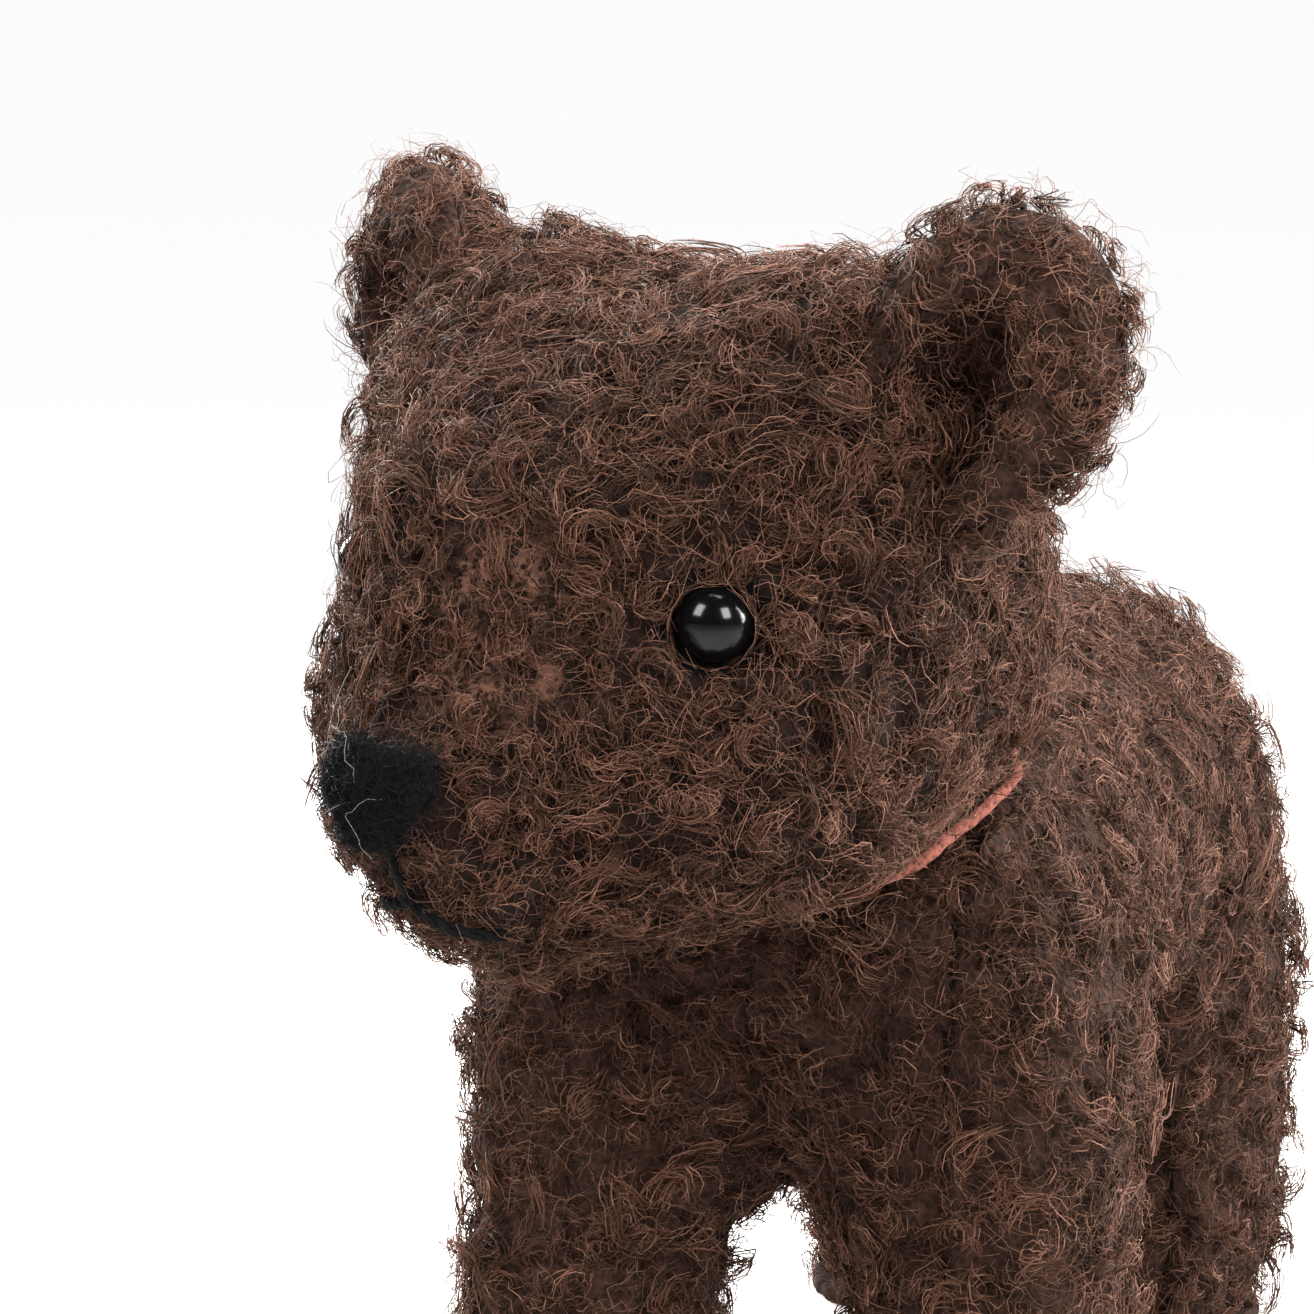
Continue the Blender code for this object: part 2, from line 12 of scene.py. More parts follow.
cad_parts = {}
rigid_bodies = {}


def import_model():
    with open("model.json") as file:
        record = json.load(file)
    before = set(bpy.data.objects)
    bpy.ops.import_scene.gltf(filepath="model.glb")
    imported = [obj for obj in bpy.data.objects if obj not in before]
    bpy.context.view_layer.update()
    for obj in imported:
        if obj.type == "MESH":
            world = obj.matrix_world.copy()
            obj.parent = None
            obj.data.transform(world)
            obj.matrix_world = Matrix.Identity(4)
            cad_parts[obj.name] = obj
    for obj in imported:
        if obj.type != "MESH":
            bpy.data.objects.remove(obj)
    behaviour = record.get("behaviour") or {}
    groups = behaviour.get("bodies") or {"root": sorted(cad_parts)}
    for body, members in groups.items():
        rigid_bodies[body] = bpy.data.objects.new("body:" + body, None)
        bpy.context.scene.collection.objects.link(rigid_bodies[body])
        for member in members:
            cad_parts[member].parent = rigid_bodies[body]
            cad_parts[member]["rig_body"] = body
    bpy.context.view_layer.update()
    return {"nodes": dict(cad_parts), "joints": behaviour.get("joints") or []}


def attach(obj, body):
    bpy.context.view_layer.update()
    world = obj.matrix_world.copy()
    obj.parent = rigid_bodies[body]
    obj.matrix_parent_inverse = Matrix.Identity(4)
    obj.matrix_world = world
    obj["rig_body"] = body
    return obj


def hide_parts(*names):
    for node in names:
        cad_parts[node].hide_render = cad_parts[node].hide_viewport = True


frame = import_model()
NODES = frame["nodes"]

# ---- the pieces' names ----
HEAD_NAMES = ("head_gusset", "head_side_left", "head_side_right")
BODY_NAMES = ("underbody_left", "underbody_right", "body_side_left", "body_side_right")

# ---- camera and lamps ----
CAMERA_FROM_NECK = Vector((0.1426, -0.3938, 0.0708))
CAMERA_AZIMUTH = radians(22.0)
CAMERA_FALL = radians(8.0)
SENSOR = 36.0
LENS = 102.1
LAMP_AIM = Vector((0.0, -0.03, 0.09))
LAMPS = (("key_left", (-0.45, -0.75, 0.75), 0.42, 24.0),
         ("key_right", (0.80, -0.55, 0.70), 0.42, 27.0),
         ("top", (0.0, 0.25, 1.0), 0.5, 35.0),
         ("rim_right", (0.85, 0.45, 0.45), 0.5, 58.0),
         ("rim_left", (-0.75, 0.55, 0.50), 0.5, 48.0))

# ---- where the head is ----
JOINT = frame["joints"][0]
NECK = Vector(JOINT["pos_m"])
AXIS = Vector(JOINT["axis"]).normalized()
NECK_TURN = AXIS.to_track_quat("Z", "Y").to_matrix()
HEAD_TURN = Euler((radians(8.0), radians(3.0), radians(-18.0)), "XYZ")
SKULL = Vector((-0.0035, -0.0138, 0.0225))
HEAD = Matrix.Translation(NECK) @ HEAD_TURN.to_matrix().to_4x4() @ Matrix.Translation(SKULL)
BODY_SHIFT = np.array(NECK) - (0.0, -0.0430, 0.0935)  # from the body's own frame to the world

# ---- the body's seams, in its own frame ----
UNDER_HALF = 0.0225
UNDER_TOP = 0.0600
CHEST_FOOT = -0.0250
CHEST_BACK = -0.0420
CHEST_TOP = 0.0850

# ---- the head's features, in its own frame ----
GUSSET_HALF = 0.0150
GUSSET_LOW = -0.0040
EYE = Vector((0.0241, -0.0234, 0.0058))
EYE_R = 0.0040
EYE_INWARD = Vector((-0.55, 0.83, -0.05)).normalized()
SHANK_R = 0.0003
SHANK_LOOP = 0.0012
SHANK_END = 0.0080
SOCKET_R = 0.0066
EYE_DENT = 0.0020
MUZZLE_RISE = 0.0014
EAR = Vector((0.0388, 0.0040, 0.0280))
EAR_SIZE = Vector((0.0152, 0.0092, 0.0188))
EAR_INSET = Vector((0.0015, 0.0015, 0.0015))
EAR_CUP = Vector((-0.0016, -0.0113, -0.0042))
EAR_CUP_SIZE = Vector((0.0078, 0.0130, 0.0130))
EAR_CUP_EASE = Vector((0.0004, 0.0018, 0.0004))
EAR_TURN = Vector((radians(-8.0), radians(28.0), radians(26.0)))
THIN_SPOT = Vector((0.0060, -0.0360, 0.0060))
THIN_R = 0.0115
MUZZLE_R = 0.0170
NOSE = Vector((0.0, -0.0510, -0.0096))
NOSE_TOP = -0.0056
NOSE_TALL = 0.0088
LIP_DROP = 0.0058
MOUTH_LEFT = 0.0088
MOUTH_RIGHT = 0.0045
MOUTH_SLOPE = 0.45
MOUTH_LIFT = 0.0026
PLY_R = 0.000372
PLY_OFF = 0.00033  # how far each ply lies from the middle of the thread

# ---- the coral edge at the neck ----
EDGE_MIDDLE = radians(-28.0)  # where on the rim the fur is held off the edge
EDGE_HALF = radians(30.0)
EDGE_STEPS = 180
EDGE_HOLE = 0.0024
EDGE_ROLL = 0.0008
EDGE_LOW, EDGE_MIDWAY, EDGE_HIGH = 0.00055, 0.00120, 0.00175
PLEATS = 58
PLEAT_DEPTH = 0.00010
EDGE_SUNK = 0.0022  # how far the edge sits in under the fur elsewhere
RIM_DROP = 0.0019  # how far the fur hangs down over it there

# ---- cloth and wadding ----
BACKING_DEPTH = 0.0034
WADDING_DEPTH = 0.0034
SOLE_SHARE = 0.82
CLOTH_THICK = 0.0007
HEAD_GROOVE = 0.0006
BODY_GROOVE = 0.0013
GROOVE_HALF = 0.0017
LUMP_HEIGHT = 0.00040
LUMP_SIZE = 0.0075
SIM_VOXEL = 0.0042
SIM_CAP = 0.0016
SIM_FRAMES = 20
PRESSURE = 4.0

# ---- pile: gaps between locks, room left round features, numbers and widths of fibres ----
SEED = 20117
RIPPLE_WAVES = 10
HEAD_GAP, BODY_GAP, EAR_GAP = 0.0027, 0.0031, 0.0024
LOCKS_FROM_EYE = 0.0052
LOCKS_FROM_MOUTH = 0.0030
LOCKS_FROM_SEAM = 0.0015
HAIRS_FROM_EYE = 0.0050
HEAD_CLEAR, BODY_CLEAR = 0.0023, 0.0007  # fibres stay this far from the neck's plane
FLOOR_CLEAR = 0.0004
HEAD_ROOTS, BODY_ROOTS = 0.0026, 0.0012  # fibres start this far from the neck's plane
NECK_FADE = 0.0075  # how far from the neck the pile is shorter
HEAD_UNDER, BODY_UNDER = 10000, 19000
HEAD_FUZZ, BODY_FUZZ = ((9000, 11000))
EAR_FUZZ = 900
NOSE_NAP = 2600
NOSE_STRAYS = 12
FIBRE_WIDTH = 0.00016
BODY_FIBRE_WIDTH = FIBRE_WIDTH * 1.15
UNDER_WIDTH = 0.00014
FUZZ_WIDTH = 0.00007
NAP_WIDTH = 0.00007
STRAY_WIDTH = 0.00006
MOST_TRIANGLES = 190000  # in one piece
# shade is painted shade at fibre roots and in shaded fibres, tip is painted light on fibre ends, fuzz is
# partly painted light
PILE_TONES = ("shade", "brown", "warm", "cool", "tip", "fuzz")

# ---- how the fibres run: curls, spreads and lengths, before each lock's own size ----
HEAD_LOCKS = dict(fibres=15, steps=10, turns=0.80, length=0.0088, tilt=0.55, lean=0.0012,
                  bunch=0.00052, height=0.0032, cap=0.0040, wander=0.00026, bend=0.035)
BODY_LOCKS = dict(HEAD_LOCKS, fibres=10, steps=9, length=0.0092, tilt=0.6, bunch=0.00056)
EAR_LOCKS = dict(HEAD_LOCKS, fibres=12, turns=0.85, length=0.0068, tilt=0.4, lean=0.0003,
                 bunch=0.00055, height=0.0026, cap=0.0032, bend=0.009)
UNDERCOAT = dict(fibres=1, steps=6, turns=0.7, length=0.0066, tilt=0.8, lean=0.0010,
                 bunch=0.0004, height=0.0026, cap=0.0034, wander=0.0003, bend=0.03)
FUZZ = dict(fibres=1, steps=7, turns=0.6, length=0.0080, tilt=1.1, lean=0.0016,
            bunch=0.0006, height=0.0040, cap=0.0054, wander=0.0003, bend=0.03)
EAR_WISPS = dict(FUZZ, length=0.0072, lean=0.0015, bunch=0.0005, height=0.0038, cap=0.0052,
                 bend=0.02)
NAP = dict(fibres=1, steps=6, turns=0.2, length=0.0028, tilt=0.1, lean=0.0004,
           bunch=0.0001, height=0.00020, cap=0.0004, wander=0.0001, bend=0.02)
STRAYS = dict(NAP, steps=12, turns=0.35, length=0.0085, height=0.0006, cap=0.0009, wander=0.0005)


def srgb(r, g, b):
    """A colour of three numbers from 0 to 255 as linear light."""
    parts = [c / 255.0 for c in (r, g, b)]
    return tuple(c / 12.92 if c <= 0.04045 else ((c + 0.055) / 1.055) ** 2.4 for c in parts) + (1.0,)


WHITE = (1.0, 1.0, 1.0, 1.0)
DARK = (0.0, 0.0, 0.0, 1.0)
# painted shade round the eye sockets
SOCKET_SHADE = (0.10, 0.10, 0.10, 1.0)
FLOOR_TONE = srgb(178, 176, 173)
FLOOR_FADE = 1.0 / 1.2
BACKDROP = srgb(252, 252, 253)
SKY = srgb(150, 145, 138)  # the world as diffuse light
MIRRORED = srgb(30, 30, 32)  # the world as glossy surfaces show it


# ---- meshes and objects ----
def link(obj):
    bpy.context.scene.collection.objects.link(obj)
    return obj


def new_object(name, mesh):
    return link(bpy.data.objects.new(name, mesh))


def from_bmesh(name, bm):
    mesh = bpy.data.meshes.new(name)
    bm.to_mesh(mesh)
    bm.free()
    return new_object(name, mesh)


def applied(obj):
    """The object with its modifiers' result as its own mesh."""
    graph = bpy.context.evaluated_depsgraph_get()
    graph.update()
    mesh = bpy.data.meshes.new_from_object(obj.evaluated_get(graph))
    obj.modifiers.clear()
    old = obj.data
    obj.data = mesh
    if old.users == 0:
        bpy.data.meshes.remove(old)
    return obj


def remove(obj):
    bpy.data.objects.remove(obj, do_unlink=True)


def joined_copy(name, nodes):
    """The CAD nodes' meshes, copied into one new object."""
    bm = bmesh.new()
    for node in nodes:
        bm.from_mesh(NODES[node].data)
    bmesh.ops.remove_doubles(bm, verts=bm.verts, dist=0.000001)
    return from_bmesh(name, bm)


def remesh(obj, voxel, smoothing):
    melt = obj.modifiers.new("melt", "REMESH")
    melt.mode = "VOXEL"
    melt.voxel_size = voxel
    melt.use_smooth_shade = True
    smooth = obj.modifiers.new("smooth", "SMOOTH")
    smooth.factor = 0.5
    smooth.iterations = smoothing
    applied(obj)


def puffed(name, node, voxel, smoothing, rise):
    """A CAD node's own shape, melted, and moved out along its normals by rise."""
    obj = joined_copy(name, [node])
    remesh(obj, voxel, smoothing)
    points = coords(obj.data)
    set_coords(obj.data, points + normals(obj.data) * rise(points)[:, None])
    obj.data.shade_smooth()
    return obj


def read(rows, key):
    found = np.empty(len(rows) * 3, np.float32)
    rows.foreach_get(key, found)
    return found.reshape(-1, 3).astype(float)


def coords(mesh):
    return read(mesh.vertices, "co")


def normals(mesh):
    return read(mesh.vertex_normals, "vector")


def set_coords(mesh, points):
    mesh.vertices.foreach_set("co", points.astype(np.float32).ravel())
    mesh.update()


def length(vectors):
    return np.linalg.norm(vectors, axis=-1)


def unit(vectors):
    return vectors / np.maximum(np.linalg.norm(vectors, axis=-1, keepdims=True), 1e-9)


def on_side(spot, side):
    """A spot given for the bear's left, on the left (1) or the right (-1)."""
    return Vector((side * spot.x, spot.y, spot.z))


def seen_from(place, points):
    """World points in the frame of a matrix."""
    m = np.array(place.inverted())
    return points @ m[:3, :3].T + m[:3, 3]


def into_head(points):
    return seen_from(HEAD, points)


def past_neck(points):
    """How far each point is along the neck joint's axis."""
    return (points - np.array(NECK)) @ np.array(AXIS)


# ---- smooth noise ----
def ripple(points, size, seed):
    """Smooth noise of about unit spread, with features about size across."""
    rng = np.random.default_rng(seed)
    total = np.zeros(len(points))
    for _ in range(RIPPLE_WAVES):
        direction = rng.normal(size=3)
        direction *= 2 * pi / size * rng.uniform(0.6, 1.4) / np.linalg.norm(direction)
        total += np.sin(points @ direction + rng.uniform(0, 2 * pi))
    return total / np.sqrt(RIPPLE_WAVES / 2)


# ---- node materials ----
class Look:
    """A Principled material and short ways to add nodes to it."""

    def __init__(self, name, colour, roughness, **sockets):
        self.material = bpy.data.materials.new(name)
        self.material.use_nodes = True
        self.tree = self.material.node_tree
        self.shader = self.tree.nodes["Principled BSDF"]
        self.shader.inputs["Base Color"].default_value = colour
        self.shader.inputs["Roughness"].default_value = roughness
        for key, value in sockets.items():
            self.shader.inputs[key.replace("_", " ")].default_value = value

    def node(self, kind, **properties):
        made = self.tree.nodes.new("ShaderNode" + kind)
        for key, value in properties.items():
            setattr(made, key, value)
        return made

    def wire(self, start, end):
        self.tree.links.new(start, end)

    def place(self, stretch=(1.0, 1.0, 1.0)):
        """Object coordinates in metres, stretched."""
        spot = self.node("TexCoord")
        scale = self.node("Mapping")
        scale.inputs["Scale"].default_value = stretch
        self.wire(spot.outputs["Object"], scale.inputs["Vector"])
        return scale.outputs["Vector"]

    def grain(self, size, detail, where=None):
        made = self.node("TexNoise")
        made.inputs["Scale"].default_value = 1.0 / size
        made.inputs["Detail"].default_value = detail
        self.wire(where or self.place(), made.inputs["Vector"])
        return made.outputs["Fac"]

    def scaled(self, value, factor):
        made = self.node("Math", operation="MULTIPLY")
        self.wire(value, made.inputs[0])
        made.inputs[1].default_value = factor
        return made.outputs["Value"]

    def cells(self, size):
        made = self.node("TexVoronoi", feature="F1")
        made.inputs["Scale"].default_value = 1.0 / size
        self.wire(self.place(), made.inputs["Vector"])
        return made.outputs["Distance"]

    def distance(self, centre, size):
        """The distance from a spot, as a share of size."""
        made = self.node("VectorMath", operation="DISTANCE")
        self.wire(self.place(), made.inputs[0])
        made.inputs[1].default_value = centre
        return self.scaled(made.outputs["Value"], 1.0 / size)

    def ramp(self, value, stops):
        made = self.node("ValToRGB")
        for element, (at, colour) in zip(made.color_ramp.elements, stops):
            element.position = at
            element.color = colour
        self.wire(value, made.inputs["Fac"])
        return made.outputs["Color"]

    def blend(self, share, first, second, mode="MIX"):
        made = self.node("Mix", data_type="RGBA", blend_type=mode)
        for number, value in ((0, share), (6, first), (7, second)):
            socket = made.inputs[number]
            if isinstance(value, (float, tuple)):
                socket.default_value = value
            else:
                self.wire(value, socket)
        return made.outputs[2]

    def base(self, colour):
        self.wire(colour, self.shader.inputs["Base Color"])

    def bump(self, height, depth):
        made = self.node("Bump")
        made.inputs["Strength"].default_value = 1.0
        made.inputs["Distance"].default_value = depth
        self.wire(height, made.inputs["Height"])
        self.wire(made.outputs["Normal"], self.shader.inputs["Normal"])


def backing(name, thread, hole, root, bare=None, sockets=()):
    """Open knit cloth under pile roots, with a dark down of painted shade between them, painted shade in
    the eye sockets, bare round one spot if given.
    """
    look = Look(name, thread, 1.0, Specular_IOR_Level=0.1)
    holes = look.cells(0.00088)
    web = look.ramp(holes, [(0.34, hole), (0.56, thread)])
    # The down is painted shade: the dark of the deep pile, laid over the knit.
    down = look.ramp(look.grain(0.0016, 4.0), [(0.3, tuple(0.5 * c for c in root)), (0.7, root)])
    if bare:
        share = look.ramp(look.distance(*bare), [(0.45, WHITE), (1.0, DARK)])
        worn = look.ramp(look.grain(0.0042, 2.0), [(0.44, DARK), (0.56, WHITE)])
        web = look.blend(look.blend(1.0, share, worn, "MULTIPLY"), down, web)
    else:
        web = look.blend(0.25, down, web)
    # Each eye socket is darkened round its bead: painted shade in the recess.
    for centre in sockets:
        shade = look.ramp(look.distance(centre, SOCKET_R), [(0.80, SOCKET_SHADE), (1.0, WHITE)])
        web = look.blend(1.0, web, shade, "MULTIPLY")
    look.base(web)
    look.bump(holes, 0.0004)
    return look.material


def fibre(name, colour, sheen=0.05, shine=0.07):
    """Mohair fibre of one tone: the pile mixes several of them."""
    look = Look(name, colour, 0.62, Specular_IOR_Level=shine, Sheen_Weight=sheen)
    look.shader.inputs["Sheen Tint"].default_value = srgb(210, 140, 96)
    return look.material


def mottled(look, grain, low, high, depth):
    """Two colours and a bump by the grain: its size, its detail and its stretch upwards."""
    size, detail, stretch = grain
    spots = look.grain(size, detail, look.place((1.0, 1.0, stretch)))
    look.base(look.ramp(spots, [low, high]))
    look.bump(spots, depth)
    return look.material


def make_looks():
    looks = {
        # The third colour of each backing is the painted shade laid between the pile roots.
        "head_cloth": backing("head_cloth", srgb(88, 60, 49), srgb(22, 14, 11), srgb(28, 17, 13),
                              (HEAD @ THIN_SPOT, 0.014),
                              [HEAD @ on_side(EYE, side) for side in (1, -1)]),
        # The neck cloth is the backing darkened all over: painted shade, to match the self-shaded pile
        # round it.
        "neck_cloth_shaded": backing("neck_cloth_shaded", srgb(52, 33, 25), srgb(24, 15, 12), srgb(38, 24, 18)),
        "body_cloth": backing("body_cloth", srgb(66, 42, 33), srgb(26, 16, 13), srgb(32, 20, 15)),
        # The shade tone is painted shade, the tip tone painted light, the fuzz tone partly painted
        # light.
        "shade": fibre("pile_shade", srgb(29, 18, 13)),
        "brown": fibre("pile_brown", srgb(55, 35, 26)),
        "warm": fibre("pile_warm", srgb(67, 44, 34)),
        "cool": fibre("pile_cool", srgb(45, 29, 21)),
        "tip": fibre("pile_tip", srgb(93, 66, 54)),
        "fuzz": fibre("pile_fuzz", srgb(86, 60, 48)),
        "black": fibre("black_fibre", srgb(9, 9, 10), 0.0, 0.05),
        "grey": fibre("grey_fibre", srgb(104, 102, 96)),
    }
    glass = Look("black_glass", (0.0012, 0.0012, 0.0014, 1.0), 0.15, Specular_IOR_Level=0.16)
    glass.bump(glass.grain(0.0015, 2.0), 0.000004)
    looks["glass"] = glass.material
    thread = Look("black_thread", srgb(6, 6, 7), 0.8, Specular_IOR_Level=0.05)
    thread.bump(thread.grain(0.0002, 2.0), 0.00008)
    looks["thread"] = thread.material
    band = Look("edge_band", srgb(96, 55, 46), 0.95, Specular_IOR_Level=0.1)
    loops = band.cells(0.0007)
    band.base(band.ramp(loops, [(0.1, srgb(58, 33, 27)), (0.5, srgb(96, 55, 46))]))
    band.bump(loops, 0.0002)
    looks["band"] = band.material
    looks["felt"] = mottled(Look("nose_felt", srgb(14, 14, 16), 0.95, Specular_IOR_Level=0.05),
                            (0.0007, 4.0, 0.18), (0.3, srgb(5, 5, 6)), (0.7, srgb(15, 15, 17)), 0.0003)
    looks["wadding"] = mottled(Look("wadding", srgb(222, 214, 200), 1.0, Sheen_Weight=0.4),
                               (0.003, 5.0, 1.0), (0.3, srgb(196, 186, 170)),
                               (0.7, srgb(238, 232, 222)), 0.0012)
    looks["hardboard"] = mottled(Look("hardboard", srgb(120, 84, 52), 0.8), (0.0011, 4.0, 1.0),
                                 (0.35, srgb(92, 62, 38)), (0.65, srgb(146, 106, 68)), 0.00015)
    looks["steel"] = mottled(Look("steel", srgb(176, 178, 180), 0.32, Metallic=1.0), (0.0016, 3.0, 6.0),
                             (0.3, srgb(150, 151, 152)), (0.7, srgb(196, 198, 200)), 0.00002)
    looks["sole"] = mottled(Look("sole_cloth", srgb(32, 21, 16), 1.0, Specular_IOR_Level=0.1),
                            (0.0006, 4.0, 1.0), (0.3, srgb(24, 15, 12)), (0.7, srgb(40, 26, 20)), 0.0003)
    return looks


LOOKS = make_looks()


def wear(obj, *names):
    """Gives the object these looks. Clearing an empty list would reset its faces' slots."""
    if len(obj.data.materials):
        obj.data.materials.clear()
    for name in names:
        obj.data.materials.append(LOOKS[name])
    return obj


def finish(obj, body, stands_for=()):
    """Rides the piece on its body and hides the CAD parts it stands for."""
    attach(obj, body)
    if stands_for:
        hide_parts(*stands_for)


# ---- panels and seams ----
def head_panel(points):
    """0 gusset, 1 left, 2 right, for points in the world."""
    q = into_head(points)
    side = np.where(q[:, 0] > 0, 1, 2)
    return np.where((np.abs(q[:, 0]) < GUSSET_HALF) & (q[:, 2] > GUSSET_LOW), 0, side)


def head_seam(points):
    """The distance of each point from the nearest seam of the head."""
    q = into_head(points)
    wide, z = np.abs(q[:, 0]), q[:, 2]
    strip = np.where(z > GUSSET_LOW, np.abs(wide - GUSSET_HALF), 1.0)
    end = np.where(wide < GUSSET_HALF, np.abs(z - GUSSET_LOW), 1.0)
    chin = np.where(z < GUSSET_LOW, wide, 1.0)
    return np.minimum(np.minimum(strip, end), chin)


def under_body(points):
    p = points - BODY_SHIFT
    slope = (CHEST_BACK - CHEST_FOOT) / (CHEST_TOP - UNDER_TOP)
    back = CHEST_FOOT + slope * np.clip(p[:, 2] - UNDER_TOP, 0.0, CHEST_TOP - UNDER_TOP)
    return (np.abs(p[:, 0]) < UNDER_HALF) & ((p[:, 2] < UNDER_TOP) | (p[:, 1] < back))


def body_panel(points):
    """0 and 1 the left and right underbody, 2 and 3 the left and right side."""
    right = (points[:, 0] < BODY_SHIFT[0]).astype(int)
    return np.where(under_body(points), right, 2 + right)


def body_seam(points):
    p = points - BODY_SHIFT
    wide = np.abs(p[:, 0])
    just_inside = points - np.sign(p[:, :1]) * [[0.001, 0, 0]]
    edge = np.where(under_body(just_inside), np.abs(wide - UNDER_HALF), 1.0)
    return np.minimum(edge, wide)


HEAD_PART = ("head", head_panel, HEAD_NAMES)
BODY_PART = ("body", body_panel, BODY_NAMES)


def skin(name, nodes, seam, groove, extra):
    """The backing cloth of the head or body: melted, blown up between its seams, subdivided."""
    obj = joined_copy(name, nodes)
    remesh(obj, SIM_VOXEL, 2)
    sink = obj.modifiers.new("sink", "DISPLACE")
    sink.mid_level = 0.0
    sink.strength = -BACKING_DEPTH
    applied(obj)
    start = coords(obj.data)
    blow_up(obj, np.flatnonzero(seam(start) < SIM_VOXEL * 0.6), start)
    fine = obj.modifiers.new("fine", "SUBSURF")
    fine.levels = fine.render_levels = 2
    applied(obj)
    points, outward = coords(obj.data), normals(obj.data)
    gap = seam(points)
    rise = extra(points) - groove * np.exp(-((gap / GROOVE_HALF) ** 2))
    rise = rise + LUMP_HEIGHT * ripple(points, LUMP_SIZE, 5)
    set_coords(obj.data, points + outward * rise[:, None])
    obj.data.shade_smooth()
    return obj


def blow_up(obj, held, start):
    """A short cloth simulation under pressure, held along the seams, with a cap on movement."""
    obj.vertex_groups.new(name="seams").add([int(i) for i in held], 1.0, "REPLACE")
    cloth = obj.modifiers.new("cloth", "CLOTH")
    settings = cloth.settings
    settings.use_pressure = True
    settings.uniform_pressure_force = PRESSURE
    settings.effector_weights.gravity = 0.0
    settings.vertex_group_mass = "seams"
    settings.quality = 4
    settings.tension_stiffness = 12.0
    settings.compression_stiffness = 12.0
    settings.bending_stiffness = 0.4
    cloth.collision_settings.use_collision = False
    scene = bpy.context.scene
    scene.frame_start, scene.frame_end = 1, SIM_FRAMES
    for step in range(1, SIM_FRAMES + 1):
        scene.frame_set(step)
    applied(obj)
    obj.vertex_groups.clear()
    scene.frame_set(1)
    moved = coords(obj.data) - start
    share = np.minimum(1.0, SIM_CAP / np.maximum(length(moved), 1e-9))
    set_coords(obj.data, start + moved * share[:, None])


def split_panels(whole, part, cloth):
    """One cloth piece for each panel, each with its own thickness."""
    body, panel_of, names = part
    which = panel_of(read(whole.data.polygons, "center"))
    for index, name in enumerate(names):
        bm = bmesh.new()
        bm.from_mesh(whole.data)
        bm.faces.ensure_lookup_table()
        bmesh.ops.delete(bm, geom=[f for f in bm.faces if which[f.index] != index], context="FACES")
        piece = from_bmesh(name + "_cloth", bm)
        thick = piece.modifiers.new("thick", "SOLIDIFY")
        thick.thickness = CLOTH_THICK
        thick.offset = -1.0
        finish(wear(applied(piece), cloth), body, [name])
    remove(whole)


# ---- fur ----
class Ground:
    """Spots and normals on a skin, picked evenly over its area."""

    def __init__(self, obj):
        mesh = obj.data
        mesh.calc_loop_triangles()
        corners = np.empty(len(mesh.loop_triangles) * 3, np.int32)
        mesh.loop_triangles.foreach_get("vertices", corners)
        self.tri = corners.reshape(-1, 3)
        self.points, self.normals = coords(mesh), normals(mesh)
        a, b, c = (self.points[self.tri[:, k]] for k in range(3))
        self.area = length(np.cross(b - a, c - a)) / 2

    def scatter(self, count, rng):
        pick = rng.choice(len(self.tri), count, p=self.area / self.area.sum())
        u, v = rng.random(count), rng.random(count)
        flip = u + v > 1
        u[flip], v[flip] = 1 - u[flip], 1 - v[flip]
        weights = np.stack([1 - u - v, u, v], 1)[:, :, None]
        spots = (self.points[self.tri[pick]] * weights).sum(1)
        outward = (self.normals[self.tri[pick]] * weights).sum(1)
        return spots, unit(outward)

    def spaced(self, gap, rng):
        """Spots at least gap apart, thrown like darts."""
        spots, outward = self.scatter(int(self.area.sum() / gap ** 2 * 5), rng)
        cells, kept = {}, []
        keys = np.floor(spots / gap).astype(int)
        around = [(x, y, z) for x in (-1, 0, 1) for y in (-1, 0, 1) for z in (-1, 0, 1)]
        for i, key in enumerate(map(tuple, keys)):
            near = [j for x, y, z in around
                    for j in cells.get((key[0] + x, key[1] + y, key[2] + z), ())]
            if all(((spots[i] - spots[j]) ** 2).sum() > gap * gap for j in near):
                cells.setdefault(key, []).append(i)
                kept.append(i)
        return spots[kept], outward[kept]


def frames(outward, ahead):
    """Two directions along the surface, the first near ahead."""
    side = unit(np.cross(outward, ahead))
    return np.cross(side, outward), side


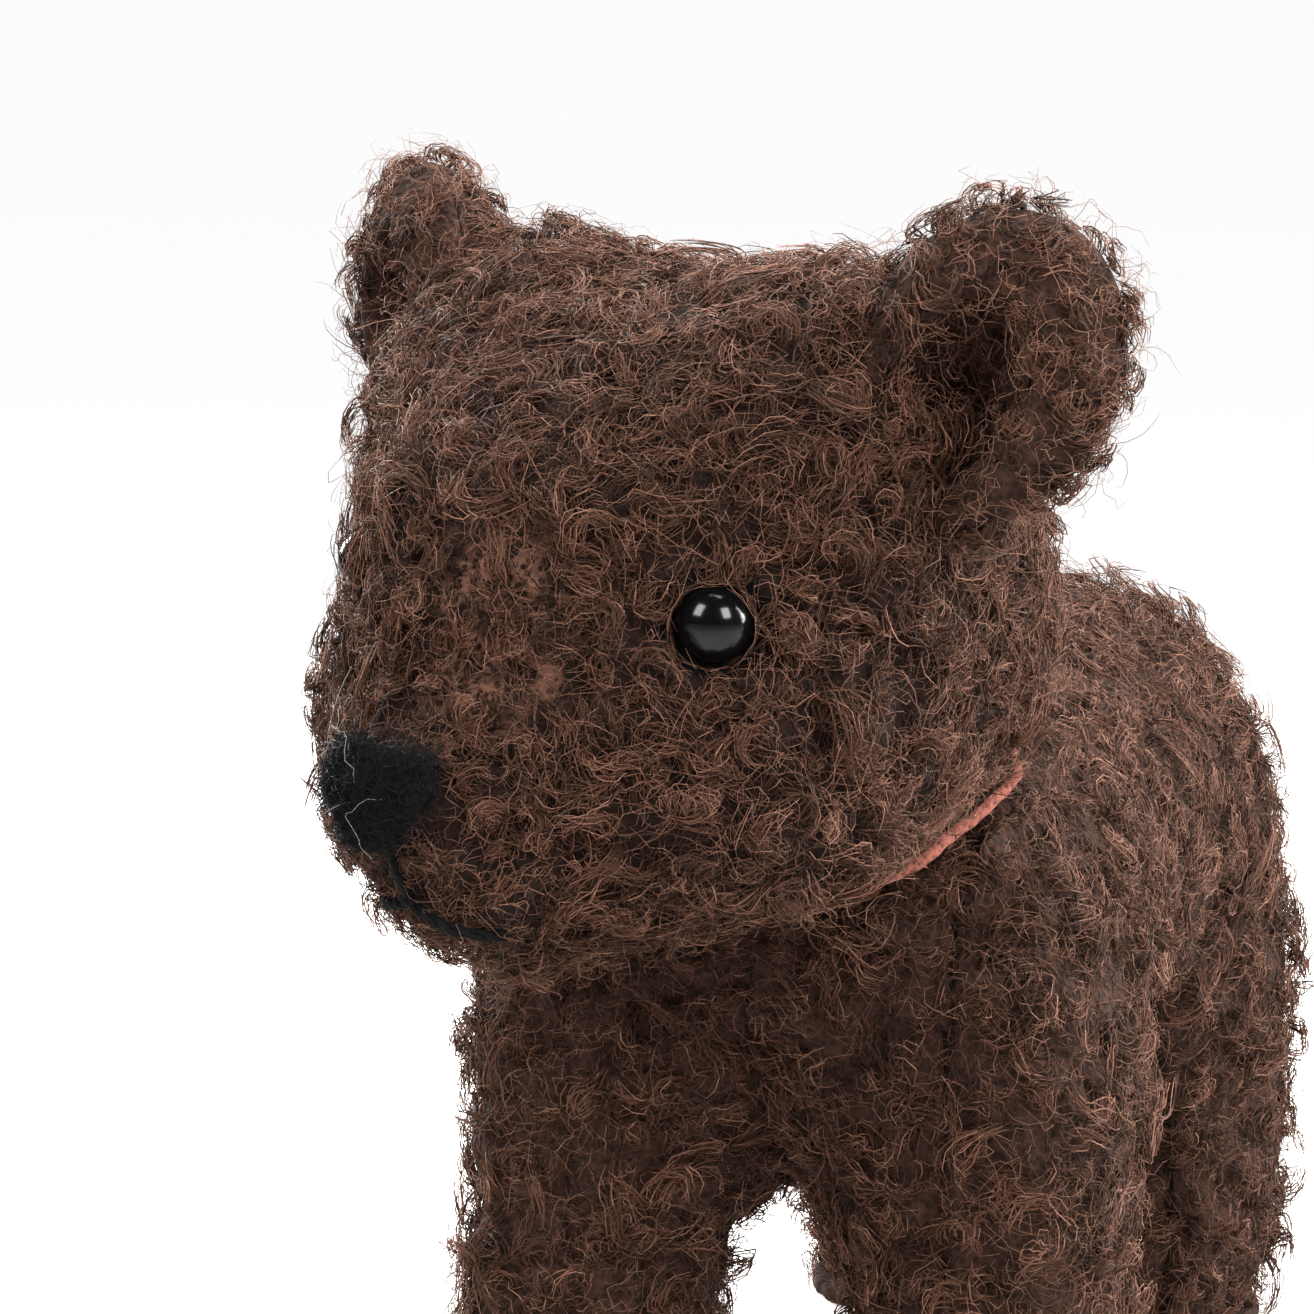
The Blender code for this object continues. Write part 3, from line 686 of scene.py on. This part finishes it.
def curls(roots, outward, style, size, rng, ahead=None):
    """Fibre paths (locks, fibres, steps, 3): each lock is a bunch that rises and curls round."""
    if ahead is None:
        ahead = rng.normal(size=roots.shape)
    locks, fibres, steps = len(roots), style["fibres"], style["steps"]
    along, side = frames(outward, ahead)
    t = np.linspace(0.0, 1.0, steps)[None, None, :]
    size = size[:, None, None]

    def each(low, high, per_fibre=False):
        return rng.uniform(low, high, (locks, fibres if per_fibre else 1, 1))

    def spread(amount):
        return rng.normal(0.0, amount, (locks, fibres, 1))

    turn_at = each(0, 2 * pi) + spread(0.20)
    hand = rng.choice([-1.0, 1.0], (locks, 1, 1))
    turns = style["turns"] * each(0.25, 1.45) * each(0.8, 1.15, True)
    swing = each(-1.0, 1.0) * np.sin(2 * pi * (each(0.7, 1.3) * t + each(0, 1)))
    heading = turn_at + hand * 2 * pi * turns * (0.8 * t + 0.2 * t ** 3) + swing
    stride = style["length"] * size * each(0.75, 1.25) * (1 + spread(0.10)) / (steps - 1)
    first = np.cumsum(np.cos(heading), axis=2) * stride
    second = np.cumsum(np.sin(heading), axis=2) * stride
    tilt = rng.normal(0.0, style["tilt"], (locks, 1, 1)) + spread(0.14)
    facing = each(0, 2 * pi)
    lean = style["lean"] * size * each(-0.4, 1.0)
    closer = 1 - 0.45 * t
    bunch = style["bunch"]
    x = first * np.cos(facing) * np.cos(tilt) - second * np.sin(facing)
    x = x + spread(bunch) * closer + lean * t
    y = first * np.sin(facing) * np.cos(tilt) + second * np.cos(facing) + spread(bunch) * closer
    rise = style["height"] * size * each(0.45, 1.2) * each(0.65, 1.2, True)
    z = -first * np.sin(tilt) + rise * (1 - (1 - t) ** 2.2)
    for target in (x, y, z):
        waves = rng.uniform(0.9, 2.8, (locks, fibres, 1))
        wave = np.sin(2 * pi * (waves * t + each(0, 1, True)))
        target += style["wander"] * wave * np.minimum(1, 3 * t)
    low = 0.0002 + each(0, 0.0007, True) * np.minimum(1.0, 3 * t)
    cap = style["cap"] * size * each(0.75, 1.0, True)
    z = cap * np.tanh(np.maximum(z, low) / cap)
    z = z - (x ** 2 + y ** 2) / (2 * style["bend"])
    paths = roots[:, None, None, :]
    for value, way in ((x, along), (y, side), (z, outward)):
        paths = paths + value[..., None] * way[:, None, None, :]
    return paths


def kept_clear(paths, limits):
    """Moves points out of the room of the eyes, the neck joint and the ground."""
    flat = paths.reshape(-1, 3)
    for kind, where, way, size in limits:
        where, way = np.array(where), np.array(way)
        if kind in ("plane", "rim"):
            short = size - (flat - where) @ way
            if kind == "rim":
                short -= RIM_DROP * (1 - edge_share(flat))
            flat += np.maximum(short, 0.0)[:, None] * way
        else:
            rel = flat - where
            deep = rel @ way
            across = rel - deep[:, None] * way
            far = length(across)[:, None]
            near = (far[:, 0] < size) & (deep > -size)
            push = across / np.maximum(far, 1e-6) * (size - far)
            flat[near] += push[near]
    return flat.reshape(paths.shape)


def fibre_object(name, paths, width, tones, rng):
    """Closed three-sided fibres along the paths (fibres, steps, 3)."""
    count, steps = paths.shape[:2]
    way = unit(np.gradient(paths, axis=1))
    first = unit(np.cross(way, rng.normal(size=(count, 1, 3))))
    second = np.cross(way, first)
    half = width[:, :, None, None] / 2
    turn = np.arange(3) * 2 * pi / 3
    ring = first[:, :, None, :] * np.cos(turn)[None, None, :, None]
    ring = ring + second[:, :, None, :] * np.sin(turn)[None, None, :, None]
    points = (paths[:, :, None, :] + ring * half).reshape(-1, 3)
    base = (np.arange(count) * steps * 3)[:, None, None]
    row = (np.arange(steps - 1) * 3)[None, :, None]
    k = np.arange(3)[None, None, :]
    a, b = base + row + k, base + row + (k + 1) % 3
    quads = np.stack([a, b, b + 3, a + 3], -1).reshape(-1, 4)
    start = base[:, 0, 0]
    end = start + (steps - 1) * 3
    caps = np.concatenate([np.stack([start + 2, start + 1, start], 1),
                           np.stack([end, end + 1, end + 2], 1)])
    mesh = bpy.data.meshes.new(name)
    mesh.vertices.add(len(points))
    mesh.vertices.foreach_set("co", points.astype(np.float32).ravel())
    loops = np.concatenate([quads.ravel(), caps.ravel()]).astype(np.int32)
    mesh.loops.add(len(loops))
    mesh.loops.foreach_set("vertex_index", loops)
    faces = len(quads) + len(caps)
    mesh.polygons.add(faces)
    starts = np.concatenate([np.arange(len(quads)) * 4, len(quads) * 4 + np.arange(len(caps)) * 3])
    mesh.polygons.foreach_set("loop_start", starts.astype(np.int32))
    slots = np.concatenate([np.repeat(tones.ravel(), 3), tones[:, 0], tones[:, -1]])
    mesh.polygons.foreach_set("material_index", slots.astype(np.int32))
    mesh.polygons.foreach_set("use_smooth", np.ones(faces, bool))
    mesh.update(calc_edges=True)
    return new_object(name, mesh)


def tone_map(count, steps, field, rng, dark):
    """Tone numbers along each fibre: the shade tone at the root as painted shade, one of three browns,
    some pale tips as painted light.
    """
    light = field + rng.normal(0, 0.6, count)
    own = np.where(light > 0.8, 2, np.where(light < -0.8, 3, 1))
    own = np.where(rng.random(count) < dark + 0.45 * (light < -1.2), 0, own)
    tones = np.repeat(own[:, None], steps - 1, 1)
    share = np.linspace(0, 1, steps - 1)[None, :]
    # The root end takes the shade tone: painted shade deep in the pile.
    tones = np.where(share < rng.uniform(0.05, 0.30, (count, 1)), 0, tones)
    # Pale tips, more of them where the field is light: painted light on the fibre ends.
    pale = rng.random((count, 1)) < 0.20 + 0.25 * (light[:, None] > 0.5)
    end = share > rng.uniform(0.35, 0.85, (count, 1))
    return np.where(pale & end & (own[:, None] > 0), 4, tones)


def lay_pile(who, roots, paths, width, field, part, rng, dark=0.0, fuzz=False):
    """Sorts the fibres into their panels and makes the pieces, each under the triangle limit."""
    body, panel_of, names = part
    which = panel_of(roots)
    fibres, steps = paths.shape[1:3]
    limit = MOST_TRIANGLES // (fibres * ((steps - 1) * 6 + 2))
    for index, name in enumerate(names):
        chosen = np.flatnonzero(which == index)
        if not len(chosen):
            continue
        chosen = chosen[np.argsort(roots[chosen, 1], kind="stable")]
        for number, batch in enumerate(np.array_split(chosen, -(-len(chosen) // limit))):
            flat = paths[batch].reshape(-1, steps, 3)
            count = len(flat)
            t = np.linspace(0, 1, steps)[None, :]
            thick = width * rng.uniform(0.75, 1.25, (count, 1)) * (1 - 0.65 * t ** 3)
            if fuzz:
                # Fuzz takes only the pale tones: partly painted light, for the bright halo of fine
                # fibres at the outline.
                tones = np.where(rng.random((count, 1)) < 0.45, 5, 4) * np.ones((1, steps - 1), int)
            else:
                lock = field[batch] * 0.6 + rng.normal(0, 0.9, len(batch))
                tones = tone_map(count, steps, np.repeat(lock, fibres), rng, dark)
            obj = fibre_object(f"{name}_{who}_{number + 1}", flat, thick, tones, rng)
            finish(wear(obj, *PILE_TONES), body)


def head_lump(points):
    """How far the backing stands out or in: out at the muzzle, in at the eyes."""
    q = into_head(points)
    rise = MUZZLE_RISE * np.exp(-((length(q - NOSE) / 0.0120) ** 2))
    for side in (1, -1):
        rise -= EYE_DENT * np.exp(-((length(q - on_side(EYE, side)) / 0.0060) ** 2))
    return rise


def eye_limits():
    """Round openings in the pile, one along the way out of each eye."""
    turn = HEAD.to_3x3()
    return [("tube", HEAD @ on_side(EYE, side), -(turn @ on_side(EYE_INWARD, side)), EYE_R + 0.0005)
            for side in (1, -1)]


def eye_distance(points):
    q = into_head(points)
    return np.minimum(*(length(q - on_side(EYE, side)) for side in (1, -1)))


def muzzle_share(points):
    return np.exp(-((length(into_head(points) - NOSE) / MUZZLE_R) ** 2))


def near_neck(points):
    return np.exp(-((past_neck(points) / NECK_FADE) ** 2))


def edge_share(points):
    """1 where the fur is held off the coral edge, 0 where it hangs over it."""
    flat = (points - np.array(NECK)) @ np.array(NECK_TURN)
    angle = np.arctan2(flat[:, 1], flat[:, 0])
    off = np.abs((angle - EDGE_MIDDLE + pi) % (2 * pi) - pi)
    return np.clip((EDGE_HALF - off) / radians(6.0) + 0.5, 0.0, 1.0)


def grow_head(ground, rng, stitches):
    roots, outward = ground.spaced(HEAD_GAP, rng)
    muzzle = muzzle_share(roots)
    thin = length(into_head(roots) - THIN_SPOT) < THIN_R
    bare = thin & (ripple(roots, 0.0060, 77) > 0.75)
    from_mouth = np.min(length(roots[:, None] - stitches[None]), axis=1)
    rim = 0.0014 + 0.0016 * edge_share(roots)
    keep = (past_neck(roots) > rim) & (eye_distance(roots) > LOCKS_FROM_EYE) & ~bare
    keep = keep & (from_mouth > LOCKS_FROM_MOUTH)
    roots, outward, muzzle, from_mouth = roots[keep], outward[keep], muzzle[keep], from_mouth[keep]
    from_nose = (into_head(roots) - NOSE) @ np.array(HEAD.to_3x3()).T
    ahead = from_nose / 0.03 * muzzle[:, None] + rng.normal(size=roots.shape) * 0.35
    short = (1 - 0.45 * muzzle) * (1 - 0.40 * np.exp(-((from_mouth / 0.0040) ** 2)))
    short = short * (1 - 0.45 * edge_share(roots) * near_neck(roots))
    size = short * rng.uniform(0.8, 1.2, len(roots))
    limits = eye_limits() + [("rim", NECK, AXIS, HEAD_CLEAR)]
    paths = kept_clear(curls(roots, outward, HEAD_LOCKS, size, rng, ahead), limits)
    lay_pile("pile", roots, paths, FIBRE_WIDTH, ripple(roots, 0.012, 31), HEAD_PART, rng)
    grow_under(ground, rng, HEAD_UNDER, HEAD_PART, limits, HEAD_ROOTS)
    grow_fuzz(ground, rng, HEAD_FUZZ, HEAD_PART, limits, HEAD_ROOTS)


def single_roots(ground, rng, count, part, past, cut):
    """Roots clear of the neck and the eyes, and sizes that are cut shorter at the muzzle."""
    roots, outward = ground.scatter(count, rng)
    on_head = part is HEAD_PART
    side = 1 if on_head else -1
    keep = (side * past_neck(roots) > past) & (eye_distance(roots) > HAIRS_FROM_EYE)
    roots, outward = roots[keep], outward[keep]
    short = 1 - cut * muzzle_share(roots) if on_head else np.ones(len(roots))
    return roots, outward, short


def grow_fuzz(ground, rng, count, part, limits, past):
    """Single fine fibres that stand away from the pile."""
    roots, outward, short = single_roots(ground, rng, count, part, past, 0.45)
    short = short * (1 - 0.5 * near_neck(roots))
    size = short * rng.uniform(0.6, 1.15, len(roots))
    paths = kept_clear(curls(roots, outward, FUZZ, size, rng), limits)
    lay_pile("fuzz", roots, paths, FUZZ_WIDTH, roots[:, 0], part, rng, fuzz=True)


def grow_under(ground, rng, count, part, limits, past):
    """The tangle of short crimped fibres between the locks."""
    roots, outward, short = single_roots(ground, rng, count, part, past, 0.35)
    size = short * rng.uniform(0.7, 1.2, len(roots))
    paths = kept_clear(curls(roots, outward, UNDERCOAT, size, rng), limits)
    # Nearly half the undercoat fibres take the shade tone whole: painted shade in the gaps between the
    # locks.
    lay_pile("under", roots, paths, UNDER_WIDTH, ripple(roots, 0.01, 51), part, rng, dark=0.45)


def grow_body(ground, rng):
    roots, outward = ground.spaced(BODY_GAP, rng)
    from_seam = body_seam(roots)
    under_foot = (outward[:, 2] < -0.8) & (roots[:, 2] < 0.01)
    keep = (past_neck(roots) < -BODY_ROOTS) & (roots[:, 2] > 0.0010) & ~under_foot
    keep = keep & (from_seam > LOCKS_FROM_SEAM)
    roots, outward, from_seam = roots[keep], outward[keep], from_seam[keep]
    short = 1 - 0.50 * np.exp(-((from_seam / 0.0034) ** 2))
    size = short * rng.uniform(0.8, 1.2, len(roots))
    limits = [("plane", NECK, -AXIS, BODY_CLEAR), ("plane", (0, 0, 0), (0, 0, 1), FLOOR_CLEAR)]
    paths = kept_clear(curls(roots, outward, BODY_LOCKS, size, rng), limits)
    lay_pile("pile", roots, paths, BODY_FIBRE_WIDTH, ripple(roots, 0.014, 37), BODY_PART, rng)
    grow_under(ground, rng, BODY_UNDER, BODY_PART, limits, BODY_ROOTS)
    grow_fuzz(ground, rng, BODY_FUZZ, BODY_PART, limits, BODY_ROOTS)


# ---- ears ----
def placed(name, bm, size, middle, place):
    bmesh.ops.scale(bm, vec=size, verts=bm.verts)
    bmesh.ops.translate(bm, vec=middle, verts=bm.verts)
    bmesh.ops.transform(bm, matrix=place, verts=bm.verts)
    return from_bmesh(name, bm)


def ball(name, place, middle, half, segments=48, rings=28):
    bm = bmesh.new()
    bmesh.ops.create_uvsphere(bm, u_segments=segments, v_segments=rings, radius=1.0)
    return placed(name, bm, half, middle, place)


def box(place, low, high):
    bm = bmesh.new()
    bmesh.ops.create_cube(bm, size=1.0)
    low, high = Vector(low), Vector(high)
    return placed("box", bm, high - low, (low + high) / 2, place)


def cut_with(obj, cutter, operation):
    cut = obj.modifiers.new("cut", "BOOLEAN")
    cut.operation = operation
    cut.object = cutter
    cut.solver = "EXACT"
    applied(obj)
    remove(cutter)


def ear(side, name, head_skin, tree, rng):
    """A cupped ear on the head: two cloths, then its pile."""
    turn = Euler((EAR_TURN.x, side * EAR_TURN.y, side * EAR_TURN.z), "XYZ").to_matrix().to_4x4()
    place = HEAD @ Matrix.Translation(on_side(EAR, side)) @ turn
    cup_spot = on_side(EAR_CUP, side)
    whole = ball("ear_whole", place, (0, 0, 0), EAR_SIZE - EAR_INSET)
    cut_with(whole, ball("ear_cup", place, cup_spot, EAR_CUP_SIZE + EAR_CUP_EASE), "DIFFERENCE")
    remesh(whole, 0.0009, 6)
    cut_with(whole, new_object("ear_room", head_skin.data.copy()), "DIFFERENCE")
    whole.data.shade_smooth()
    names = (f"ear_{name}_front", f"ear_{name}_back")
    halves = ((-1.0, -0.0001, "ear_lining"), (0.0001, 1.0, "mohair"))
    for node, (low, high, slot) in zip(names, halves):
        piece = new_object(node + "_cloth", whole.data.copy())
        cut_with(piece, box(place, (-1, low, -1), (1, high, 1)), "INTERSECT")
        piece.data.shade_smooth()
        finish(wear(piece, "body_cloth"), "head", [node])
    ear_pile(Ground(whole), place, cup_spot, names, tree, rng)
    remove(whole)


def ear_pile(ground, place, cup_spot, names, tree, rng):
    """The ear's locks, short and with painted shade in the hollow of the cup, and its fine hairs."""
    part = ("head", lambda points: (seen_from(place, points)[:, 1] > 0).astype(int), names)
    roots, outward = ground.spaced(EAR_GAP, rng)
    local = seen_from(place, roots)
    cup = length((local - cup_spot) / np.array(EAR_CUP_SIZE))
    hollow = np.exp(-(((cup - 1.05) / 0.16) ** 2)) * (local[:, 1] > -0.0062)
    far = np.array([tree.find_nearest(Vector(p))[3] for p in roots])
    keep = far > 0.0008
    roots, outward, hollow = roots[keep], outward[keep], hollow[keep]
    size = (1 - 0.60 * hollow) * rng.uniform(0.8, 1.2, len(roots))
    paths = curls(roots, outward, EAR_LOCKS, size, rng)
    # Fibres in the hollow take the shade tone almost all through: painted shade in the cup's recess.
    dark = hollow > 0.22
    for chosen, shade, who in ((dark, 0.95, "hollow_shade"), (~dark, 0.0, "pile")):
        field = ripple(roots[chosen], 0.01, 41)
        lay_pile(who, roots[chosen], paths[chosen], FIBRE_WIDTH, field, part, rng, dark=shade)
    roots, outward = ground.scatter(EAR_FUZZ, rng)
    size = rng.uniform(0.6, 1.1, len(roots))
    paths = curls(roots, outward, EAR_WISPS, size, rng)
    lay_pile("fuzz", roots, paths, FUZZ_WIDTH, roots[:, 0], part, rng, fuzz=True)


# ---- eyes, nose, mouth ----
def tube(name, points, radius, material):
    curve = bpy.data.curves.new(name, "CURVE")
    curve.dimensions = "3D"
    curve.bevel_depth = radius
    curve.bevel_resolution = 3
    curve.use_fill_caps = True
    spline = curve.splines.new("POLY")
    spline.points.add(len(points) - 1)
    for spot, point in zip(spline.points, points):
        spot.co = (*point, 1.0)
    wire = new_object(name + "_line", curve)
    graph = bpy.context.evaluated_depsgraph_get()
    mesh = bpy.data.meshes.new_from_object(wire.evaluated_get(graph))
    remove(wire)
    obj = new_object(name, mesh)
    obj.data.shade_smooth()
    return wear(obj, material)


def eyes():
    """A glass bead on a bent wire shank."""
    for side, name in ((1, "left"), (-1, "right")):
        turn = (HEAD.to_3x3() @ on_side(EYE_INWARD, side)).to_track_quat("Z", "Y").to_matrix()
        along = Matrix.Translation(HEAD @ on_side(EYE, side)) @ turn.to_4x4()
        bead = ball(f"eye_{name}_bead", along, (0, 0, 0), (EYE_R, EYE_R, EYE_R * 0.94), 64, 40)
        bead.data.shade_smooth()
        finish(wear(bead, "glass"), "head", [f"eye_{name}"])
        path = [Vector((SHANK_R, 0, EYE_R * 0.9)), Vector((SHANK_R, 0, SHANK_END))]
        for a in np.linspace(0.3, 2 * pi - 0.3, 20):
            path.append(Vector((SHANK_LOOP * sin(a), 0, SHANK_END + 0.0015 - SHANK_LOOP * cos(a))))
        path.append(Vector((-SHANK_R, 0, SHANK_END)))
        wire = tube(f"eye_{name}_shank", [along @ p for p in path], SHANK_R, "steel")
        finish(wire, "head")


def plain_fibres(name, paths, width, look, rng):
    """Fibres of one tone on the head, from locks of one fibre each."""
    paths = paths[:, 0]
    count, steps = paths.shape[:2]
    tones = np.zeros((count, steps - 1), int)
    obj = fibre_object(name, paths, width * np.ones((count, steps)), tones, rng)
    finish(wear(obj, look), "head")


def nose(rng):
    """A thick felted shield with a nap of short black fibres and a few stray hairs over it."""
    def lumps(points):
        return 0.00018 * ripple(points, 0.0035, 61) + 0.00005 * ripple(points, 0.0009, 62)

    pad = puffed("nose_pad_felt", "nose_pad", 0.0005, 5, lumps)
    finish(wear(pad, "felt"), "head", ["nose_pad"])
    ground = Ground(pad)
    down = np.array(HEAD.to_3x3() @ Vector((0, 0, -1)))
    spots, facing = ground.scatter(NOSE_NAP, rng)
    size = rng.uniform(0.6, 1.1, NOSE_NAP)
    ahead = down + rng.normal(size=spots.shape) * 0.6
    paths = curls(spots, facing, NAP, size, rng, ahead)
    width = NAP_WIDTH * rng.uniform(0.7, 1.2, (NOSE_NAP, 1))
    plain_fibres("nose_pad_nap", paths, width, "black", rng)
    spots, facing = ground.scatter(NOSE_STRAYS, rng)
    size = rng.uniform(0.6, 1.2, NOSE_STRAYS)
    paths = curls(spots, facing, STRAYS, size, rng)
    plain_fibres("nose_pad_strays", paths, STRAY_WIDTH, "grey", rng)


def mouth(skin_tree):
    """Three runs of twisted black thread, laid on the muzzle."""
    way = HEAD.to_3x3() @ Vector((0, 1, 0))

    def on_face(x, z, lift):
        start = HEAD @ Vector((x, -0.2, z))
        spot, normal, _, _ = skin_tree.ray_cast(start, way)
        return spot + normal * lift

    bottom = NOSE_TOP - NOSE_TALL
    lip = bottom - LIP_DROP
    lines = {"centre": [on_face(0.0, z, MOUTH_LIFT) for z in np.linspace(bottom + 0.0005, lip, 24)]}
    for side, name, reach in ((1, "left", MOUTH_LEFT), (-1, "right", MOUTH_RIGHT)):
        xs = np.linspace(0.0004, reach, 28)
        lifts = MOUTH_LIFT - 0.0010 * (xs / reach) ** 3
        lines[name] = [on_face(side * x, lip - MOUTH_SLOPE * x, up) for x, up in zip(xs, lifts)]
    for name, line in lines.items():
        plies = []
        for start in (0.0, pi):
            twisted = []
            for i, point in enumerate(line):
                ahead = (line[min(i + 1, len(line) - 1)] - line[max(i - 1, 0)]).normalized()
                side = ahead.cross(way).normalized()
                turn = start + i * 0.75
                off = side * cos(turn) + ahead.cross(side) * sin(turn)
                twisted.append(point + off * PLY_OFF)
            plies.append(tube("ply", twisted, PLY_R, "thread"))
        bm = bmesh.new()
        for ply in plies:
            bm.from_mesh(ply.data)
            remove(ply)
        thread = from_bmesh(f"mouth_thread_{name}", bm)
        thread.data.shade_smooth()
        finish(wear(thread, "thread"), "head", [f"mouth_stitch_{name}"])
    return np.array([point[:] for line in lines.values() for point in line])


def neck_band():
    """The gathered edge of bare knit where the head is drawn in round its disc."""
    seen = coords(NODES["neck_edge_band"].data) - np.array(NECK)
    flat = seen @ np.array(NECK_TURN)
    angle = np.arctan2(flat[:, 1], flat[:, 0])
    far = np.hypot(flat[:, 0], flat[:, 1])
    rim = far > 0.010
    order = np.argsort(angle[rim])
    angles, reach = angle[rim][order], far[rim][order]
    around = np.linspace(-pi, pi, EDGE_STEPS, endpoint=False)
    outline = np.interp(around, angles, reach, period=2 * pi)
    for _ in range(10):
        outline = (np.roll(outline, 1) + 2 * outline + np.roll(outline, -1)) / 4
    spots = np.array([(cos(a), sin(a), 0.0) for a in around]) @ np.array(NECK_TURN).T + np.array(NECK)
    outline = outline - 0.0002 - EDGE_SUNK * (1 - edge_share(spots))
    half_turn = np.linspace(0, pi, 9)
    roll = [(EDGE_ROLL * (sin(a) - 1), EDGE_MIDWAY - EDGE_ROLL * cos(a)) for a in half_turn]
    bm = bmesh.new()
    rings = []
    for offset, height in [(None, EDGE_LOW)] + roll + [(None, EDGE_HIGH)]:
        ring = []
        for a, r in zip(around, outline):
            reach = EDGE_HOLE if offset is None else r + offset
            pleat = 0.0 if offset is None else PLEAT_DEPTH * sin(PLEATS * a)
            ring.append(bm.verts.new((reach * cos(a), reach * sin(a), height + pleat)))
        rings.append(ring)
    for number, (low, high) in enumerate(zip(rings, rings[1:] + rings[:1])):
        for i in range(EDGE_STEPS):
            j = (i + 1) % EDGE_STEPS
            face = bm.faces.new((low[i], low[j], high[j], high[i]))
            face.material_index = 0 if 0 < number < len(roll) else 1
    bmesh.ops.recalc_face_normals(bm, faces=bm.faces)
    bmesh.ops.transform(bm, matrix=Matrix.Translation(NECK) @ NECK_TURN.to_4x4(), verts=bm.verts)
    band = from_bmesh("neck_edge_roll", bm)
    band.data.shade_smooth()
    # The flat faces of the edge wear the neck cloth: painted shade under the head's rim.
    finish(wear(band, "band", "neck_cloth_shaded"), "head", ["neck_edge_band"])


def wadding():
    """The wads of stuffing, lumpy and slightly shrunk inside the cloth."""
    def rise(points):
        lumps = 0.0005 * ripple(points, 0.010, 71) + 0.0002 * ripple(points, 0.004, 72)
        return lumps - WADDING_DEPTH

    for node, obj in NODES.items():
        if node.endswith("stuffing"):
            wad = puffed(node.replace("stuffing", "wadding"), node, 0.0026, 2, rise)
            finish(wear(wad, "wadding"), obj["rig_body"], [node])


def soles():
    """Felt soles, a little puffed, flat where they stand."""
    for node in [n for n in NODES if n.endswith("sole")]:
        sole = puffed(node + "_felt", node, 0.0007, 4, lambda p: 0.00012 * ripple(p, 0.003, 81))
        points = coords(sole.data)
        middle = points[:, :2].mean(axis=0)
        points[:, :2] = middle + (points[:, :2] - middle) * SOLE_SHARE
        points[:, 2] = np.maximum(points[:, 2], 0.0)
        set_coords(sole.data, points)
        finish(wear(sole, "sole"), "body", [node])


def hardware():
    """The neck joint's own CAD parts keep their shape and get their materials."""
    for node in NODES:
        if node.endswith("disc"):
            wear(NODES[node], "hardboard")
        if node.endswith("washer") or node.endswith("pin"):
            wear(NODES[node], "steel")


# ---- stage ----
def stage():
    look = Look("floor", FLOOR_TONE, 0.9)
    look.bump(look.grain(0.002, 3.0), 0.00002)
    far = look.distance((0.0, 0.0, 0.0), FLOOR_FADE)
    glow = look.ramp(far, [(0.22, DARK), (0.9, BACKDROP)])
    look.wire(glow, look.shader.inputs["Emission Color"])
    look.base(look.ramp(far, [(0.22, FLOOR_TONE), (0.9, DARK)]))
    look.shader.inputs["Emission Strength"].default_value = 1.0
    bm = bmesh.new()
    bmesh.ops.create_grid(bm, x_segments=1, y_segments=1, size=6.0)
    floor = from_bmesh("floor", bm)
    floor.data.materials.append(look.material)
    world = bpy.data.worlds.new("studio")
    bpy.context.scene.world = world
    world.use_nodes = True
    tree = world.node_tree
    ground = tree.nodes["Background"]
    path = tree.nodes.new("ShaderNodeLightPath")
    before = None
    for ray, tone in (("Is Diffuse Ray", SKY), ("Is Camera Ray", BACKDROP)):
        mix = tree.nodes.new("ShaderNodeMix")
        mix.data_type = "RGBA"
        mix.inputs[6].default_value = MIRRORED
        mix.inputs[7].default_value = tone
        tree.links.new(path.outputs[ray], mix.inputs[0])
        if before:
            tree.links.new(before, mix.inputs[6])
        before = mix.outputs[2]
    tree.links.new(before, ground.inputs["Color"])
    ground.inputs["Strength"].default_value = 1.0
    for name, spot, size, power in LAMPS:
        light = bpy.data.lights.new(name, "AREA")
        light.shape = "RECTANGLE"
        light.size, light.size_y = size, size * 1.3
        light.energy = power
        lamp = link(bpy.data.objects.new(name, light))
        lamp.location = spot
        lamp.rotation_euler = (Vector(spot) - LAMP_AIM).to_track_quat("Z", "Y").to_euler()


def camera():
    right = Vector((cos(CAMERA_AZIMUTH), sin(CAMERA_AZIMUTH), 0.0))
    level = Vector((-sin(CAMERA_AZIMUTH), cos(CAMERA_AZIMUTH), 0.0))
    look = level * cos(CAMERA_FALL) - Vector((0.0, 0.0, sin(CAMERA_FALL)))
    up = right.cross(look)
    data = bpy.data.cameras.new("camera")
    data.sensor_width = SENSOR
    data.lens = LENS
    data.clip_start = 0.01
    obj = link(bpy.data.objects.new("camera", data))
    spot = NECK + CAMERA_FROM_NECK
    rows = [(right[i], up[i], -look[i], spot[i]) for i in range(3)]
    obj.matrix_world = Matrix(rows + [(0, 0, 0, 1)])
    bpy.context.scene.camera = obj


def build():
    rng = np.random.default_rng(SEED)
    bpy.context.scene.view_settings.view_transform = "Standard"
    camera()
    stage()
    head_nodes = [*HEAD_NAMES, "head_stuffing", "head_joint_disc", "head_joint_washer",
                  "neck_edge_band"]
    head_skin = skin("head_skin", head_nodes, head_seam, HEAD_GROOVE, head_lump)
    body_nodes = [n for n in NODES if NODES[n]["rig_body"] == "body" and not n.endswith("pin")]
    body_skin = skin("body_skin", body_nodes, body_seam, BODY_GROOVE, lambda p: np.zeros(len(p)))
    tree = BVHTree.FromObject(head_skin, bpy.context.evaluated_depsgraph_get())
    grow_head(Ground(head_skin), rng, mouth(tree))
    grow_body(Ground(body_skin), rng)
    for side, name in ((1, "left"), (-1, "right")):
        ear(side, name, head_skin, tree, rng)
    split_panels(head_skin, HEAD_PART, "head_cloth")
    split_panels(body_skin, BODY_PART, "body_cloth")
    eyes()
    nose(rng)
    neck_band()
    wadding()
    soles()
    hardware()


build()
